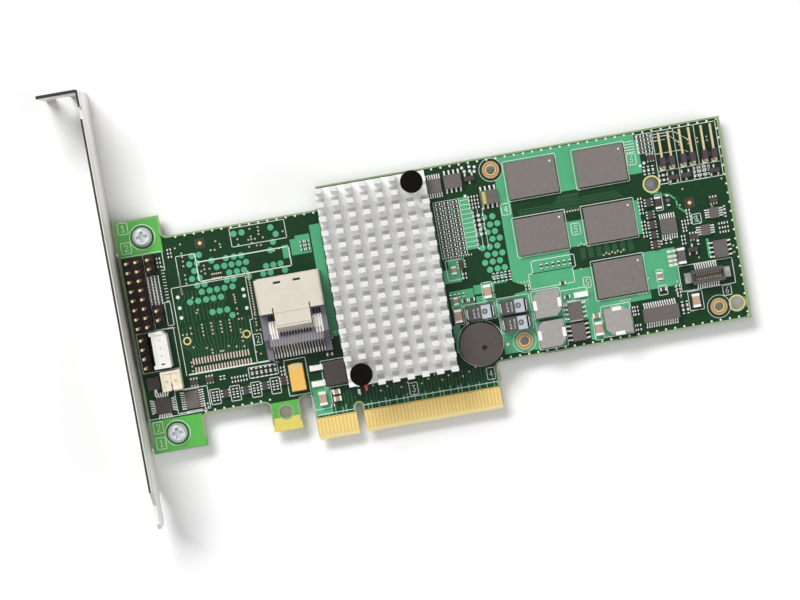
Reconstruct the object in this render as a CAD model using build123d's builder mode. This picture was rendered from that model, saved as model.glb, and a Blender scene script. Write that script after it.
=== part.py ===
"""Low-profile storage controller card on a full-height slot bracket.

Origin: centre line of the key notch, on the tip of the edge fingers, on the component face.
+X runs along the card away from the bracket, +Y from the fingers to the top edge, and +Z
stands out of the component side. All sizes are in millimetres.
"""

import os
from math import cos, radians, sin

from build123d import *

os.makedirs("parts", exist_ok=True)

ON_BOARD = (Align.CENTER, Align.CENTER, Align.MIN)
HANGING = (Align.CENTER, Align.CENTER, Align.MAX)

# Card blank
board_thickness = 1.57
board_left = -57.4
board_right = 110.26
board_top = 68.58
board_bottom = 12.7
step_x = -1.4
step_top = 62.35
outer_fillet = 1.5
finger_fillet = 0.4

# Ears of the card that the bracket is screwed to
ear_a_right = -44.9
ear_a_top = 68.4
ear_b_right = -42.6
ear_b_bottom = 4.13

# Hook that the slot's latch holds
hook_left = -24.05
hook_right = -16.0
hook_bottom = 4.3
hook_hole_y = 9.4
hook_hole_radius = 1.7

# Edge fingers and key notch
fingers_left = -12.15
fingers_right = 38.98
key_half_width = 0.95
key_depth = 8.4
bevel_height = 1.15
bevel_depth = 0.45
finger_pitch = 1.0
finger_width = 0.7
finger_length = 4.6
finger_thickness = 0.05
short_row_count = 11
long_row_count = 38
first_finger_offset = 1.5

# Plated holes of the daughter card, and bare tooling holes
plated_holes = [(46.45, 64.85), (47.7, 17.2), (101.8, 17.2)]
plated_hole_radius = 1.25
plated_ring_radius = 2.3
plated_ring_thickness = 0.06
tooling_holes = [(89.1, 53.4, 2.0), (106.8, 17.3, 1.9)]
post_holes = [(-43.1, 33.2), (-26.8, 32.3)]
post_hole_radius = 0.75

# Slot bracket, folded from one sheet
sheet = 0.86
bracket_face = -58.19
bracket_low = -3.9
bracket_width = 18.42
bracket_height = 120.02
bracket_bottom = -15.16
bend_radius = 0.6
tab_length = 11.43
screw_notch_width = 4.42
screw_notch_depth = 7.0
screw_notch_from_tip = 2.5
edge_notch_depth = 1.0
edge_notch_height = 3.3
edge_notch_from_top = 4.66
tongue_width = 10.19
tongue_length = 6.8
tongue_taper = 4.2
tongue_corner = 1.6
ear_reach = 12.1
ear_width = 6.8
ear_relief = 0.6

# Screws that hold the card to the bracket's ears
screw_places = [(-50.1, 63.2), (-50.15, 8.9)]
screw_radius = 1.5
screw_hole_radius = 1.65
screw_head_radius = 2.75
screw_head_height = 1.9
screw_head_round = 0.8
screw_length = 3.5
recess_width = 0.75
recess_reach = 2.7
recess_depth = 1.1

# Controller package, thermal pad and pin-fin heat sink
sink_centre = (13.35, 40.63)
sink_columns = 8
sink_rows = 15
fin_width = 2.0
fin_thickness = 1.4
fin_pitch_x = 4.0
fin_pitch_y = 3.8
sink_base = 2.0
sink_height = 9.5
package_side = 31.0
package_gap = 0.3
package_height = 1.1
die_side = 12.5
die_height = 0.8
pad_side = 14.0
pad_height = 0.3

# Push pins of the heat sink, each with its spring
push_pin_places = [(24.4, 65.5), (2.3, 17.0)]
push_head_radius = 3.05
push_head_height = 1.5
push_head_seat = 0.3
push_head_edge = 0.3
push_shaft_radius = 1.4
push_hole_clearance = 0.15
push_barb_radius = 1.9
push_barb_length = 1.9
push_barb_tip = 0.85
push_slit = 0.5
spring_wire = 0.25
spring_radius = 2.15
spring_turns = 4
spring_steps = 6
wire_sides = 4
sink_relief = 1.0

# Memory chips
memory_places = [(57.1, 60.85), (76.1, 60.8), (57.1, 45.3), (76.1, 45.25), (76.3, 29.95)]
memory_length = 13.55
memory_width = 10.0
memory_height = 0.9
ball_gap = 0.3

# Right-angle drive port: metal shield, plastic body and a row of tails
port_x = -13.15
port_height = 9.6
port_mouth = 46.5
port_back = 37.1
port_wall = 0.3
port_lift = 0.1
port_corner = 0.7
flap_width = 9.7
flap_end = 33.0
flap_slit = 0.3
flap_slit_length = 1.4
latch_width = 2.0
latch_height = 0.55
latch_spacing = 5.4
latch_from_mouth = 1.4
body_height = 6.5
body_rear = 28.1
body_slope = 1.9
cheek_front = 24.2
cheek_width = 1.7
cheek_height = 3.2
nose_length = 4.4
nose_side_gap = 0.9
nose_low = 2.5
nose_height = 4.4
nose_slot_height = 1.4
nose_slot_depth = 3.8
nose_wall = 0.5
port_clearance = 0.05
tail_count = 18
tail_pitch = 0.8
tail_width = 0.36
tail_sheet = 0.2
tail_top = 34.6
tail_foot = 24.1
tail_foot_length = 1.5
tail_cheek_gap = 0.22

# Pin headers, 2.54 mm pitch
header_pitch = 2.54
header_height = 2.5
header_notch = 0.55
pin_side = 0.64
pin_top = 8.6
pin_below = 1.4
pin_hole_gap = 0.06
hole_sides = 8
shaft_sides = 8
head_sides = 24
ring_sides = 12
io_header_centre = (-53.68, 48.0)
io_header_rows = 8
jumper_centres = [(-49.2, 55.7), (-49.2, 41.75)]
led_header_centre = (-54.75, 32.05)
led_header_count = 4

# White three-pin connector and beige two-pin connector
wafer_centre = (-50.05, 32.35)
wafer_width = 4.2
wafer_length = 10.1
wafer_height = 5.6
wafer_wall = 0.65
wafer_floor = 1.2
wafer_corner = 1.2
wafer_flange = 0.5
wafer_flange_length = 1.0
wafer_pin_pitch = 2.5
battery_centre = (-48.85, 23.6)
battery_width = 5.5
battery_length = 5.4
battery_height = 5.0
battery_wall = 0.7
battery_floor = 1.4
battery_slot = 0.4
battery_pin_pitch = 2.2
connector_pin_side = 0.5
connector_pin_top = 4.4
connector_pin_tip = 0.15

# Right-angle two-pin headers
angle_header_places = [94.15, 99.9, 105.87]
angle_block_front = 60.13
angle_block_depth = 2.5
angle_notch = 0.8
angle_pin_height = 1.55
angle_pin_end = 66.95
angle_pin_bend = 56.9
angle_pin_cut = 0.4

# Board-to-board connector
stack_centre = (99.9, 26.35)
stack_length = 12.6
stack_width = 3.9
stack_height = 3.4
stack_slot_length = 8.2
stack_slot_width = 1.9
stack_slot_depth = 2.4
stack_contact_count = 10
stack_contact_pitch = 0.635
stack_tab_length = 1.9
stack_tab_width = 2.9
stack_tab_height = 1.9
stack_lead_height = 1.0
stack_lead_width = 0.3
stack_lead_reach = 1.5

# Moulded packages: length along the leads' row, width between the rows, height
mould_lift = 0.1
mould_draft = 7
lead_sheet = 0.18
lead_heel = 0.55
so8 = (4.9, 3.9, 1.45)
so8_lead_count = 4
so8_leads = (1.27, 0.42, 1.15)
so8_places = [(35.7, 63.6, 0), (44.7, 57.65, 0), (104.7, 32.85, 90)]
power_so8_places = [(62.7, 22.95, 90), (62.65, 17.1, 90)]
qsop = (4.9, 3.9, 1.5)
qsop_lead_count = 8
qsop_leads = (0.635, 0.3, 1.25)
qsop_places = [(30.1, 63.1, 0), (-44.45, 17.25, 90)]
ssop = (10.1, 4.0, 1.7)
ssop_lead_count = 14
ssop_leads = (0.65, 0.32, 1.45)
ssop_places = [(85.75, 18.15, 0)]
tssop = (4.6, 4.35, 1.0)
tssop_lead_count = 7
tssop_leads = (0.65, 0.3, 1.35)
tssop_places = [(91.7, 41.35, 0)]
msop = (3.0, 2.6, 0.95)
msop_lead_count = 4
msop_leads = (0.65, 0.32, 1.2)
msop_places = [(101.55, 38.55, 90), (104.6, 42.8, 90)]
tsop6 = (3.6, 3.6, 1.3)
tsop6_lead_count = 3
tsop6_leads = (1.3, 0.6, 0.75)
tsop6_places = [(-54.15, 23.4, 0)]
sot = (2.9, 1.3, 1.0)
sot_lead_count = 2
sot_leads = (1.9, 0.42, 0.6)
sot_places = [(95.3, 54.25, 0), (98.7, 54.25, 0), (106.6, 54.25, 0), (97.2, 33.9, 0), (40.25, 63.5, 0)]

# Leadless chip and the power regulator
qfn_centre = (-52.55, 16.95)
qfn_side = 4.3
qfn_height = 0.9
regulator_centre = (-4.85, 17.75)
regulator_length = 6.6
regulator_width = 6.1
regulator_height = 2.3
regulator_edge = 0.2

# Capacitors, inductors and sounder
tantalum_centre = (-15.2, 18.35)
polymer_centres = [(36.95, 27.15), (46.15, 27.2), (46.2, 22.5)]
polymer_length = 7.3
polymer_width = 4.0
polymer_height = 2.8
case_lift = 0.15
case_edge = 0.15
terminal_width = 2.4
terminal_thickness = 0.15
terminal_reach = 0.9
inductor_places = [(55.3, 26.3, 0), (55.25, 18.05, 0), (73.7, 18.4, 90)]
inductor_side = 7.2
inductor_height = 3.0
inductor_chamfer = 1.5
inductor_plate_width = 2.6
inductor_plate = 0.25
inductor_plate_reach = 0.75
sounder_centre = (35.7, 18.65)
sounder_radius = 5.9
sounder_height = 5.0
sounder_sides = 36
sounder_hole_radius = 0.7
sounder_hole_depth = 1.2
sounder_hole_offset = (0.7, -1.0)
ceramic_places = [(30.95, 27.1, 90), (39.9, 32.4, 90), (95.75, 20.05, 90), (-9.35, 11.35, 90),
                  (68.25, 17.05, 90)]
ceramic_length = 3.7
ceramic_width = 2.0
ceramic_height = 1.7
ceramic_end = 0.7
end_growth = 0.04
diode_centre = (93.8, 32.75)
diode_length = 4.4
diode_width = 2.0
diode_height = 1.7
led_centre = (2.75, 12.3)
led_length = 1.6
led_width = 0.9
led_height = 0.7
led_edge = 0.15

# Small chip parts: centre, pitches and turn of each field, then its columns and rows
chip_length = 1.3
chip_width = 0.6
chip_height = 0.45
chip_fields = [
    (32.95, 50.95, 2.35, 1.28, 0),
    (-49.2, 48.3, 1.9, 0.8, 0),
    (88.6, 64.6, 1.9, 1.05, 0),
    (41.0, 50.6, 1.5, 1.3, 0),
    (-24.0, 21.4, 1.27, 1.5, 90),
    (59.6, 36.5, 1.6, 1.0, 90),
]
chip_field_columns = [3, 2, 2, 2, 6, 6]
chip_field_rows = [12, 10, 5, 5, 2, 1]


def moulded(length, width, height):
    """Epoxy package: the widest section is half way up, where the leads come out."""
    with BuildPart(mode=Mode.PRIVATE) as body:
        with BuildSketch(Plane.XY.offset(mould_lift + height / 2)):
            Rectangle(length, width)
        extrude(amount=height / 2, both=True, taper=mould_draft)
    return body.part


def gull_wing(height, width, reach):
    """Lead that leaves the package's side, slopes down and ends flat on the board, along +Y."""
    top = mould_lift + (height + lead_sheet) / 2
    with BuildPart(mode=Mode.PRIVATE) as lead:
        with BuildSketch(Plane.YZ):
            with BuildLine():
                Polyline((0, top), (reach, 0), (lead_heel * reach, 0), (0, top - lead_sheet),
                         close=True)
            make_face()
        extrude(amount=width / 2, both=True)
    return lead.part


def package_bodies(size, places):
    """Bodies of all packages of one kind."""
    shape = moulded(*size)
    with BuildPart() as bodies:
        for x, y, turn in places:
            with Locations(Location((x, y, 0), (0, 0, turn))):
                add(shape)
    return bodies.part


def package_leads(kinds):
    """Leads of several kinds of package, in two rows each."""
    with BuildPart() as leads:
        for size, count, (pitch, width, reach), places in kinds:
            shape = gull_wing(size[2], width, reach)
            for x, y, turn in places:
                for side in (0, 180):
                    with Locations(Location((x, y, 0), (0, 0, turn + side))):
                        with Locations((0, size[1] / 2, 0)):
                            with GridLocations(pitch, 1, count, 1):
                                add(shape)
    return leads.part


def header_body(rows, columns):
    """Moulded strip, notched between its pins, with a square hole for each pin."""
    length = rows * header_pitch
    width = columns * header_pitch
    with BuildPart(mode=Mode.PRIVATE) as body:
        Box(width, length, header_height, align=ON_BOARD)
        with Locations((-width / 2, 0), (width / 2, 0)):
            with GridLocations(1, header_pitch, 1, rows - 1):
                Box(header_notch, header_notch, header_height, rotation=(0, 0, 45),
                    align=ON_BOARD, mode=Mode.SUBTRACT)
        with GridLocations(header_pitch, header_pitch, columns, rows):
            Box(pin_side, pin_side, header_height, align=ON_BOARD, mode=Mode.SUBTRACT)
    return body.part


def header_pins(rows, columns):
    """Square pins that stand above the strip and come out under the board."""
    with BuildPart(mode=Mode.PRIVATE) as pins:
        with Locations((0, 0, -board_thickness - pin_below)):
            with GridLocations(header_pitch, header_pitch, columns, rows):
                Box(pin_side, pin_side, board_thickness + pin_below + pin_top, align=ON_BOARD)
    return pins.part


def capped_ends(length, width, height, reach):
    """Two metal ends that wrap a block lying along X, a little proud of it."""
    with BuildPart(mode=Mode.PRIVATE) as ends:
        with Locations(((reach - length) / 2, 0, 0), ((length - reach) / 2, 0, 0)):
            Box(reach, width + 2 * end_growth, height + end_growth, align=ON_BOARD)
    return ends.part


def write(part, name):
    """Label one piece and write it to its own file."""
    part.label = name
    export_step(part, f"parts/{name}.step")


# Places that several pieces share
sink_rows_length = (sink_rows - 1) * fin_pitch_y + fin_thickness
sink_columns_width = (sink_columns - 1) * fin_pitch_x + fin_width
package_top = package_gap + package_height
die_top = package_top + die_height
sink_bottom = die_top + pad_height
sink_floor = sink_bottom + sink_base
sink_top = sink_bottom + sink_height
push_head_low = sink_top - push_head_seat
push_hole_radius = push_shaft_radius + push_hole_clearance
pin_hole_side = pin_side + 2 * pin_hole_gap
tail_row = (tail_count - 1) * tail_pitch + tail_width
port_width = tail_row + 2 * (tail_cheek_gap + cheek_width)
nose_width = port_width - 2 * (port_wall + nose_side_gap)
angle_pins_x = [x + side * header_pitch / 2 for x in angle_header_places for side in (-1, 1)]
header_holes = [
    (io_header_centre[0] + (column - 0.5) * header_pitch,
     io_header_centre[1] + (row - (io_header_rows - 1) / 2) * header_pitch)
    for column in range(2)
    for row in range(io_header_rows)
]
header_holes += [(x, y + side * header_pitch / 2) for x, y in jumper_centres for side in (-1, 1)]
header_holes += [
    (led_header_centre[0], led_header_centre[1] + (row - (led_header_count - 1) / 2) * header_pitch)
    for row in range(led_header_count)
]
header_holes += [(x, angle_pin_bend + pin_side / 2) for x in angle_pins_x]
header_holes += [(wafer_centre[0], wafer_centre[1] + row * wafer_pin_pitch) for row in (-1, 0, 1)]
header_holes += [(battery_centre[0] + side * battery_pin_pitch / 2, battery_centre[1])
                 for side in (-1, 1)]

# Card: routed outline with its ears, hook, finger tongue and key notch
with BuildPart() as circuit_board:
    with BuildSketch(Plane.XY.offset(-board_thickness)):
        with BuildLine():
            FilletPolyline(
                (board_left, ear_b_bottom), (ear_b_right, ear_b_bottom),
                (ear_b_right, board_bottom), (hook_left, board_bottom),
                (hook_left, hook_bottom), (hook_right, hook_bottom),
                (hook_right, board_bottom), (fingers_left, board_bottom),
                (fingers_left, 0), (fingers_right, 0),
                (fingers_right, board_bottom), (board_right, board_bottom),
                (board_right, board_top), (step_x, board_top),
                (step_x, step_top), (ear_a_right, step_top),
                (ear_a_right, ear_a_top), (board_left, ear_a_top),
                radius=[0, 0, outer_fillet, outer_fillet, 0, 0, outer_fillet, outer_fillet,
                        finger_fillet, finger_fillet, outer_fillet, 0,
                        0, 0, outer_fillet, outer_fillet, 0, 0],
                close=True)
        make_face()
        with Locations((0, key_depth / 2 - key_half_width / 2)):
            Rectangle(2 * key_half_width, key_depth - key_half_width, mode=Mode.SUBTRACT)
        with Locations((0, key_depth - key_half_width)):
            Circle(key_half_width, mode=Mode.SUBTRACT)
        with Locations(((hook_left + hook_right) / 2, hook_hole_y)):
            Circle(hook_hole_radius, mode=Mode.SUBTRACT)
        with Locations(*plated_holes):
            Circle(plated_hole_radius, mode=Mode.SUBTRACT)
        with Locations(*screw_places):
            RegularPolygon(screw_hole_radius, hole_sides, major_radius=False, mode=Mode.SUBTRACT)
        with Locations(*push_pin_places):
            RegularPolygon(push_hole_radius, hole_sides, major_radius=False, mode=Mode.SUBTRACT)
        with Locations(*post_holes):
            RegularPolygon(post_hole_radius, hole_sides, mode=Mode.SUBTRACT)
        for x, y, radius in tooling_holes:
            with Locations((x, y)):
                Circle(radius, mode=Mode.SUBTRACT)
        with Locations(*header_holes):
            Rectangle(pin_hole_side, pin_hole_side, mode=Mode.SUBTRACT)
    extrude(amount=board_thickness)
    with BuildSketch(Plane.YZ.offset(fingers_left)):
        for face_z, sign in ((0, 1), (-board_thickness, -1)):
            with BuildLine():
                Polyline((0, face_z), (bevel_height, face_z), (0, face_z - sign * bevel_depth),
                         close=True)
            make_face()
    extrude(amount=fingers_right - fingers_left, mode=Mode.SUBTRACT)
write(circuit_board.part, "circuit_board")

# Gold contact fingers on both faces, short row before the key and long row after it
with BuildPart() as edge_contacts:
    short_middle = -first_finger_offset - (short_row_count - 1) * finger_pitch / 2
    long_middle = first_finger_offset + (long_row_count - 1) * finger_pitch / 2
    finger_y = bevel_height + finger_length / 2
    for low in (0, -board_thickness - finger_thickness):
        with Locations((short_middle, finger_y, low)):
            with GridLocations(finger_pitch, 1, short_row_count, 1):
                Box(finger_width, finger_length, finger_thickness, align=ON_BOARD)
        with Locations((long_middle, finger_y, low)):
            with GridLocations(finger_pitch, 1, long_row_count, 1):
                Box(finger_width, finger_length, finger_thickness, align=ON_BOARD)
write(edge_contacts.part, "edge_contacts")

# Tinned rings round the plated holes, on both faces
with BuildPart() as plated_rings:
    for low in (0, -board_thickness - plated_ring_thickness):
        with BuildSketch(Plane.XY.offset(low)):
            with Locations(*plated_holes):
                RegularPolygon(plated_ring_radius, ring_sides)
                RegularPolygon(plated_hole_radius, ring_sides, major_radius=False, mode=Mode.SUBTRACT)
        extrude(amount=plated_ring_thickness)
write(plated_rings.part, "plated_rings")

# Bracket: flat strip with its tongue, outward tab on top and two inward ears under the card
bracket_outer = bracket_face - sheet
bracket_high = bracket_low + bracket_width
bracket_middle = bracket_low + bracket_width / 2
bracket_top = bracket_bottom + bracket_height
taper_low = bracket_bottom + tongue_length
ear_top = -board_thickness
ear_low = ear_top - sheet
with BuildPart() as bracket:
    with BuildSketch(Plane.YZ.offset(bracket_outer)):
        with BuildLine():
            Polyline(
                (bracket_bottom, bracket_middle - tongue_width / 2 + tongue_corner),
                (bracket_bottom + tongue_corner, bracket_middle - tongue_width / 2),
                (taper_low, bracket_middle - tongue_width / 2),
                (taper_low + tongue_taper, bracket_low),
                (bracket_top, bracket_low), (bracket_top, bracket_high),
                (taper_low + tongue_taper, bracket_high),
                (taper_low, bracket_middle + tongue_width / 2),
                (bracket_bottom + tongue_corner, bracket_middle + tongue_width / 2),
                (bracket_bottom, bracket_middle + tongue_width / 2 - tongue_corner),
                close=True)
        make_face()
        notch_middle = bracket_top - edge_notch_from_top - edge_notch_height / 2
        with Locations((notch_middle, bracket_low), (notch_middle, bracket_high)):
            Rectangle(edge_notch_height, 2 * edge_notch_depth, mode=Mode.SUBTRACT)
        for _, y in screw_places:
            with Locations((y, bracket_low)):
                Rectangle(ear_width + 2 * ear_relief, 2 * (ear_low - bracket_low),
                          mode=Mode.SUBTRACT)
    extrude(amount=sheet)
    with BuildSketch(Plane.XY.offset(bracket_low)):
        with Locations((bracket_face - tab_length / 2, bracket_top - sheet / 2)):
            Rectangle(tab_length, sheet)
    extrude(amount=bracket_width)
    bend_outside = bracket.edges().filter_by(Axis.Z).sort_by_distance(
        (bracket_face, bracket_top, bracket_middle))[0]
    fillet(bend_outside, bend_radius + sheet / 2)
    bend_inside = bracket.edges().filter_by(Axis.Z).sort_by_distance(
        (bracket_outer, bracket_top - sheet, bracket_middle))[0]
    fillet(bend_inside, bend_radius / 2)
    with BuildSketch(Plane.XZ.offset(-bracket_top)):
        notch_x = bracket_face - tab_length + screw_notch_from_tip + screw_notch_width / 2
        straight = screw_notch_depth - screw_notch_width / 2
        with Locations((notch_x, bracket_low + straight / 2)):
            Rectangle(screw_notch_width, straight)
        with Locations((notch_x, bracket_low + straight)):
            Circle(screw_notch_width / 2)
    extrude(amount=sheet, mode=Mode.SUBTRACT)
    for _, y in screw_places:
        with Locations((bracket_face + ear_reach / 2, y, ear_low)):
            Box(ear_reach, ear_width, sheet, align=ON_BOARD)
    with BuildSketch(Plane.XY.offset(ear_low)):
        with Locations(*screw_places):
            RegularPolygon(screw_radius, shaft_sides)
    extrude(amount=sheet, mode=Mode.SUBTRACT)
write(bracket.part, "bracket")

# Pan-head screws with a cross recess, from the component side into the ears
with BuildPart(mode=Mode.PRIVATE) as screw:
    with BuildSketch():
        RegularPolygon(screw_head_radius, head_sides)
    extrude(amount=screw_head_height)
    chamfer(screw.faces().sort_by(Axis.Z)[-1].edges(), screw_head_round)
    with BuildSketch():
        RegularPolygon(screw_radius, shaft_sides)
    extrude(amount=-screw_length)
    with Locations((0, 0, screw_head_height)):
        Box(recess_reach, recess_width, recess_depth, align=HANGING, mode=Mode.SUBTRACT)
        Box(recess_width, recess_reach, recess_depth, align=HANGING, mode=Mode.SUBTRACT)
with BuildPart() as bracket_screws:
    with Locations(*screw_places):
        add(screw.part)
write(bracket_screws.part, "bracket_screws")

# Controller package and thermal pad under the heat sink
with BuildPart() as controller_package:
    with Locations((sink_centre[0], sink_centre[1], package_gap)):
        Box(package_side, package_side, package_height, align=ON_BOARD)
write(controller_package.part, "controller_package")

with BuildPart() as controller_die:
    with Locations((sink_centre[0], sink_centre[1], package_top)):
        Box(die_side, die_side, die_height, align=ON_BOARD)
write(controller_die.part, "controller_die")

with BuildPart() as thermal_pad:
    with Locations((sink_centre[0], sink_centre[1], die_top)):
        Box(pad_side, pad_side, pad_height, align=ON_BOARD)
write(thermal_pad.part, "thermal_pad")

# Heat sink: extruded fins cut across into pins, cleared round the two push pins
with BuildPart() as heat_sink:
    with Locations((sink_centre[0], sink_centre[1], sink_bottom)):
        Box(sink_columns_width, sink_rows_length, sink_base, align=ON_BOARD)
    with Locations((sink_centre[0], sink_centre[1], sink_floor)):
        with GridLocations(fin_pitch_x, fin_pitch_y, sink_columns, sink_rows) as fins:
            standing = [
                place for place in fins.locations
                if all(abs(place.position.X - x) > push_head_radius + sink_relief
                       or abs(place.position.Y - y) > push_head_radius + sink_relief
                       for x, y in push_pin_places)
            ]
    with Locations(*standing):
        Box(fin_width, fin_thickness, sink_height - sink_base, align=ON_BOARD)
    with BuildSketch(Plane.XY.offset(sink_bottom)):
        with Locations(*push_pin_places):
            RegularPolygon(push_hole_radius, hole_sides, major_radius=False)
    extrude(amount=sink_base, mode=Mode.SUBTRACT)
write(heat_sink.part, "heat_sink")

# Push pins: round head, shaft through sink and card, split barb under the card
barb_top = -board_thickness
barb_low = barb_top - push_barb_length
with BuildPart(mode=Mode.PRIVATE) as push_pin:
    with BuildSketch(Plane.XY.offset(push_head_low)):
        RegularPolygon(push_head_radius, head_sides)
    extrude(amount=push_head_height)
    chamfer(push_pin.faces().sort_by(Axis.Z)[-1].edges(), push_head_edge)
    with BuildSketch(Plane.XY.offset(barb_top)):
        RegularPolygon(push_shaft_radius, shaft_sides)
    extrude(amount=push_head_low - barb_top)
    with BuildSketch(Plane.XY.offset(barb_top)):
        RegularPolygon(push_barb_radius, shaft_sides)
    with BuildSketch(Plane.XY.offset(barb_low)):
        RegularPolygon(push_barb_tip, shaft_sides)
    loft(ruled=True)
    with Locations((0, 0, barb_low)):
        Box(push_slit, 3 * push_barb_radius, push_barb_length + board_thickness,
            align=ON_BOARD, mode=Mode.SUBTRACT)
with BuildPart() as push_pins:
    with Locations(*push_pin_places):
        add(push_pin.part)
write(push_pins.part, "push_pins")

# Compression springs between each head and the sink's base, coiled in short straight steps
spring_height = push_head_low - sink_floor - spring_wire
with BuildPart(mode=Mode.PRIVATE) as spring:
    with BuildLine():
        coil_step = 360 / spring_steps
        coil_rise = (spring_height - spring_wire) / (spring_turns * spring_steps)
        coil = Polyline(*[(spring_radius * cos(radians(step * coil_step)),
                           spring_radius * sin(radians(step * coil_step)), step * coil_rise)
                          for step in range(spring_turns * spring_steps + 1)])
    with BuildSketch(Plane(origin=coil @ 0, z_dir=coil % 0)):
        RegularPolygon(spring_wire, wire_sides)
    sweep(transition=Transition.RIGHT)
with BuildPart() as push_pin_springs:
    with Locations(*[(x, y, sink_floor + spring_wire) for x, y in push_pin_places]):
        add(spring.part)
write(push_pin_springs.part, "push_pin_springs")

# Memory chips, each a flat package on solder balls
for index, (x, y) in enumerate(memory_places, start=1):
    with BuildPart() as memory_chip:
        with Locations((x, y, ball_gap)):
            Box(memory_length, memory_width, memory_height, align=ON_BOARD)
    write(memory_chip.part, f"memory_chip_{index}")

# Drive port shield: folded tube, open at its mouth, with a flap over the plastic body
port_length = port_mouth - port_back
with BuildPart() as port_shield:
    with BuildSketch(Plane.XZ.offset(-port_mouth)):
        with Locations((port_x, port_lift + port_height / 2)):
            RectangleRounded(port_width, port_height, port_corner)
            RectangleRounded(port_width - 2 * port_wall, port_height - 2 * port_wall,
                             port_corner - port_wall, mode=Mode.SUBTRACT)
    extrude(amount=port_length)
    shield_top = port_lift + port_height
    with BuildSketch(Plane.XY.offset(shield_top - port_wall)):
        for side in (-1, 1):
            slit_x = port_x + side * (flap_width + flap_slit) / 2
            with Locations((slit_x, port_back + flap_slit_length / 2)):
                Rectangle(flap_slit, flap_slit_length)
            with Locations((port_x + side * latch_spacing / 2, port_mouth - latch_from_mouth)):
                Rectangle(latch_width, latch_height)
    extrude(amount=port_wall, mode=Mode.SUBTRACT)
    flap_drop = shield_top - port_wall - body_height - port_lift
    with BuildSketch(Plane.YZ.offset(port_x - flap_width / 2)):
        with BuildLine():
            Polyline((port_back, shield_top), (flap_end, shield_top),
                     (flap_end - flap_drop / 2, shield_top - flap_drop),
                     (flap_end - flap_drop / 2 + port_wall, shield_top - flap_drop),
                     (flap_end + port_wall / 2, shield_top - port_wall),
                     (port_back, shield_top - port_wall), close=True)
        make_face()
    extrude(amount=flap_width)
write(port_shield.part, "port_shield")

# Drive port body: block behind the shield, slotted nose inside it, two cheeks at the back
body_top = port_lift + body_height
with BuildPart() as port_body:
    with BuildSketch(Plane.YZ.offset(port_x - port_width / 2)):
        with BuildLine():
            Polyline((port_back - port_clearance, port_lift), (port_back - port_clearance, body_top),
                     (body_rear + body_slope, body_top), (body_rear, body_top - body_slope),
                     (body_rear, port_lift), close=True)
        make_face()
    extrude(amount=port_width)
    for side in (-1, 1):
        with Locations((port_x + side * (port_width - cheek_width) / 2,
                        (cheek_front + body_rear) / 2, port_lift)):
            Box(cheek_width, body_rear - cheek_front, cheek_height, align=ON_BOARD)
    with Locations((port_x, port_back + nose_length / 2, nose_low)):
        Box(nose_width, nose_length, nose_height, align=ON_BOARD)
    with Locations((port_x, port_back + nose_length - nose_slot_depth / 2,
                    nose_low + (nose_height - nose_slot_height) / 2)):
        Box(nose_width - 2 * nose_wall, nose_slot_depth, nose_slot_height, align=ON_BOARD,
            mode=Mode.SUBTRACT)
    with Locations((port_x, port_back - port_clearance / 2, nose_low)):
        Box(nose_width, port_clearance, nose_height, align=ON_BOARD)
write(port_body.part, "port_body")

# Drive port tails: each lies on the body, runs down its slope and ends in a foot
with BuildPart(mode=Mode.PRIVATE) as tail:
    with BuildSketch(Plane.YZ):
        with BuildLine():
            slope_low = body_top - body_slope
            Polyline((tail_top, body_top), (body_rear + body_slope, body_top),
                     (body_rear, slope_low), (tail_foot + tail_foot_length, 0), (tail_foot, 0),
                     (tail_foot, tail_sheet), (tail_foot + tail_foot_length - tail_sheet, tail_sheet),
                     (body_rear - tail_sheet, slope_low),
                     (body_rear + body_slope - tail_sheet / 2, body_top + tail_sheet),
                     (tail_top, body_top + tail_sheet), close=True)
        make_face()
    extrude(amount=tail_width / 2, both=True)
with BuildPart() as port_tails:
    with Locations((port_x, 0, 0)):
        with GridLocations(tail_pitch, 1, tail_count, 1):
            add(tail.part)
write(port_tails.part, "port_tails")

# Straight pin headers
with BuildPart() as io_header:
    with Locations(io_header_centre):
        add(header_body(io_header_rows, 2))
write(io_header.part, "io_header")

with BuildPart() as io_header_pins:
    with Locations(io_header_centre):
        add(header_pins(io_header_rows, 2))
write(io_header_pins.part, "io_header_pins")

with BuildPart() as jumper_headers:
    with Locations(*jumper_centres):
        add(header_body(2, 1))
write(jumper_headers.part, "jumper_headers")

with BuildPart() as jumper_header_pins:
    with Locations(*jumper_centres):
        add(header_pins(2, 1))
write(jumper_header_pins.part, "jumper_header_pins")

with BuildPart() as led_header:
    with Locations(led_header_centre):
        add(header_body(led_header_count, 1))
write(led_header.part, "led_header")

with BuildPart() as led_header_pins:
    with Locations(led_header_centre):
        add(header_pins(led_header_count, 1))
write(led_header_pins.part, "led_header_pins")

# White three-pin connector: open shroud with end flanges on its left side
with BuildPart() as wafer_connector:
    with BuildSketch():
        with Locations(wafer_centre):
            Rectangle(wafer_width, wafer_length)
            chamfer(vertices().group_by(Axis.X)[-1].sort_by(Axis.Y)[-1], wafer_corner)
        for side in (-1, 1):
            with Locations((wafer_centre[0] - wafer_width / 2,
                            wafer_centre[1] + side * (wafer_length - wafer_flange_length) / 2)):
                Rectangle(2 * wafer_flange, wafer_flange_length)
    extrude(amount=wafer_height)
    with Locations((wafer_centre[0], wafer_centre[1], wafer_floor)):
        Box(wafer_width - 2 * wafer_wall, wafer_length - 2 * wafer_wall - wafer_corner / 2,
            wafer_height - wafer_floor, align=ON_BOARD, mode=Mode.SUBTRACT)
    with Locations(wafer_centre):
        with GridLocations(1, wafer_pin_pitch, 1, 3):
            Box(connector_pin_side, connector_pin_side, wafer_floor, align=ON_BOARD,
                mode=Mode.SUBTRACT)
write(wafer_connector.part, "wafer_connector")

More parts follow.
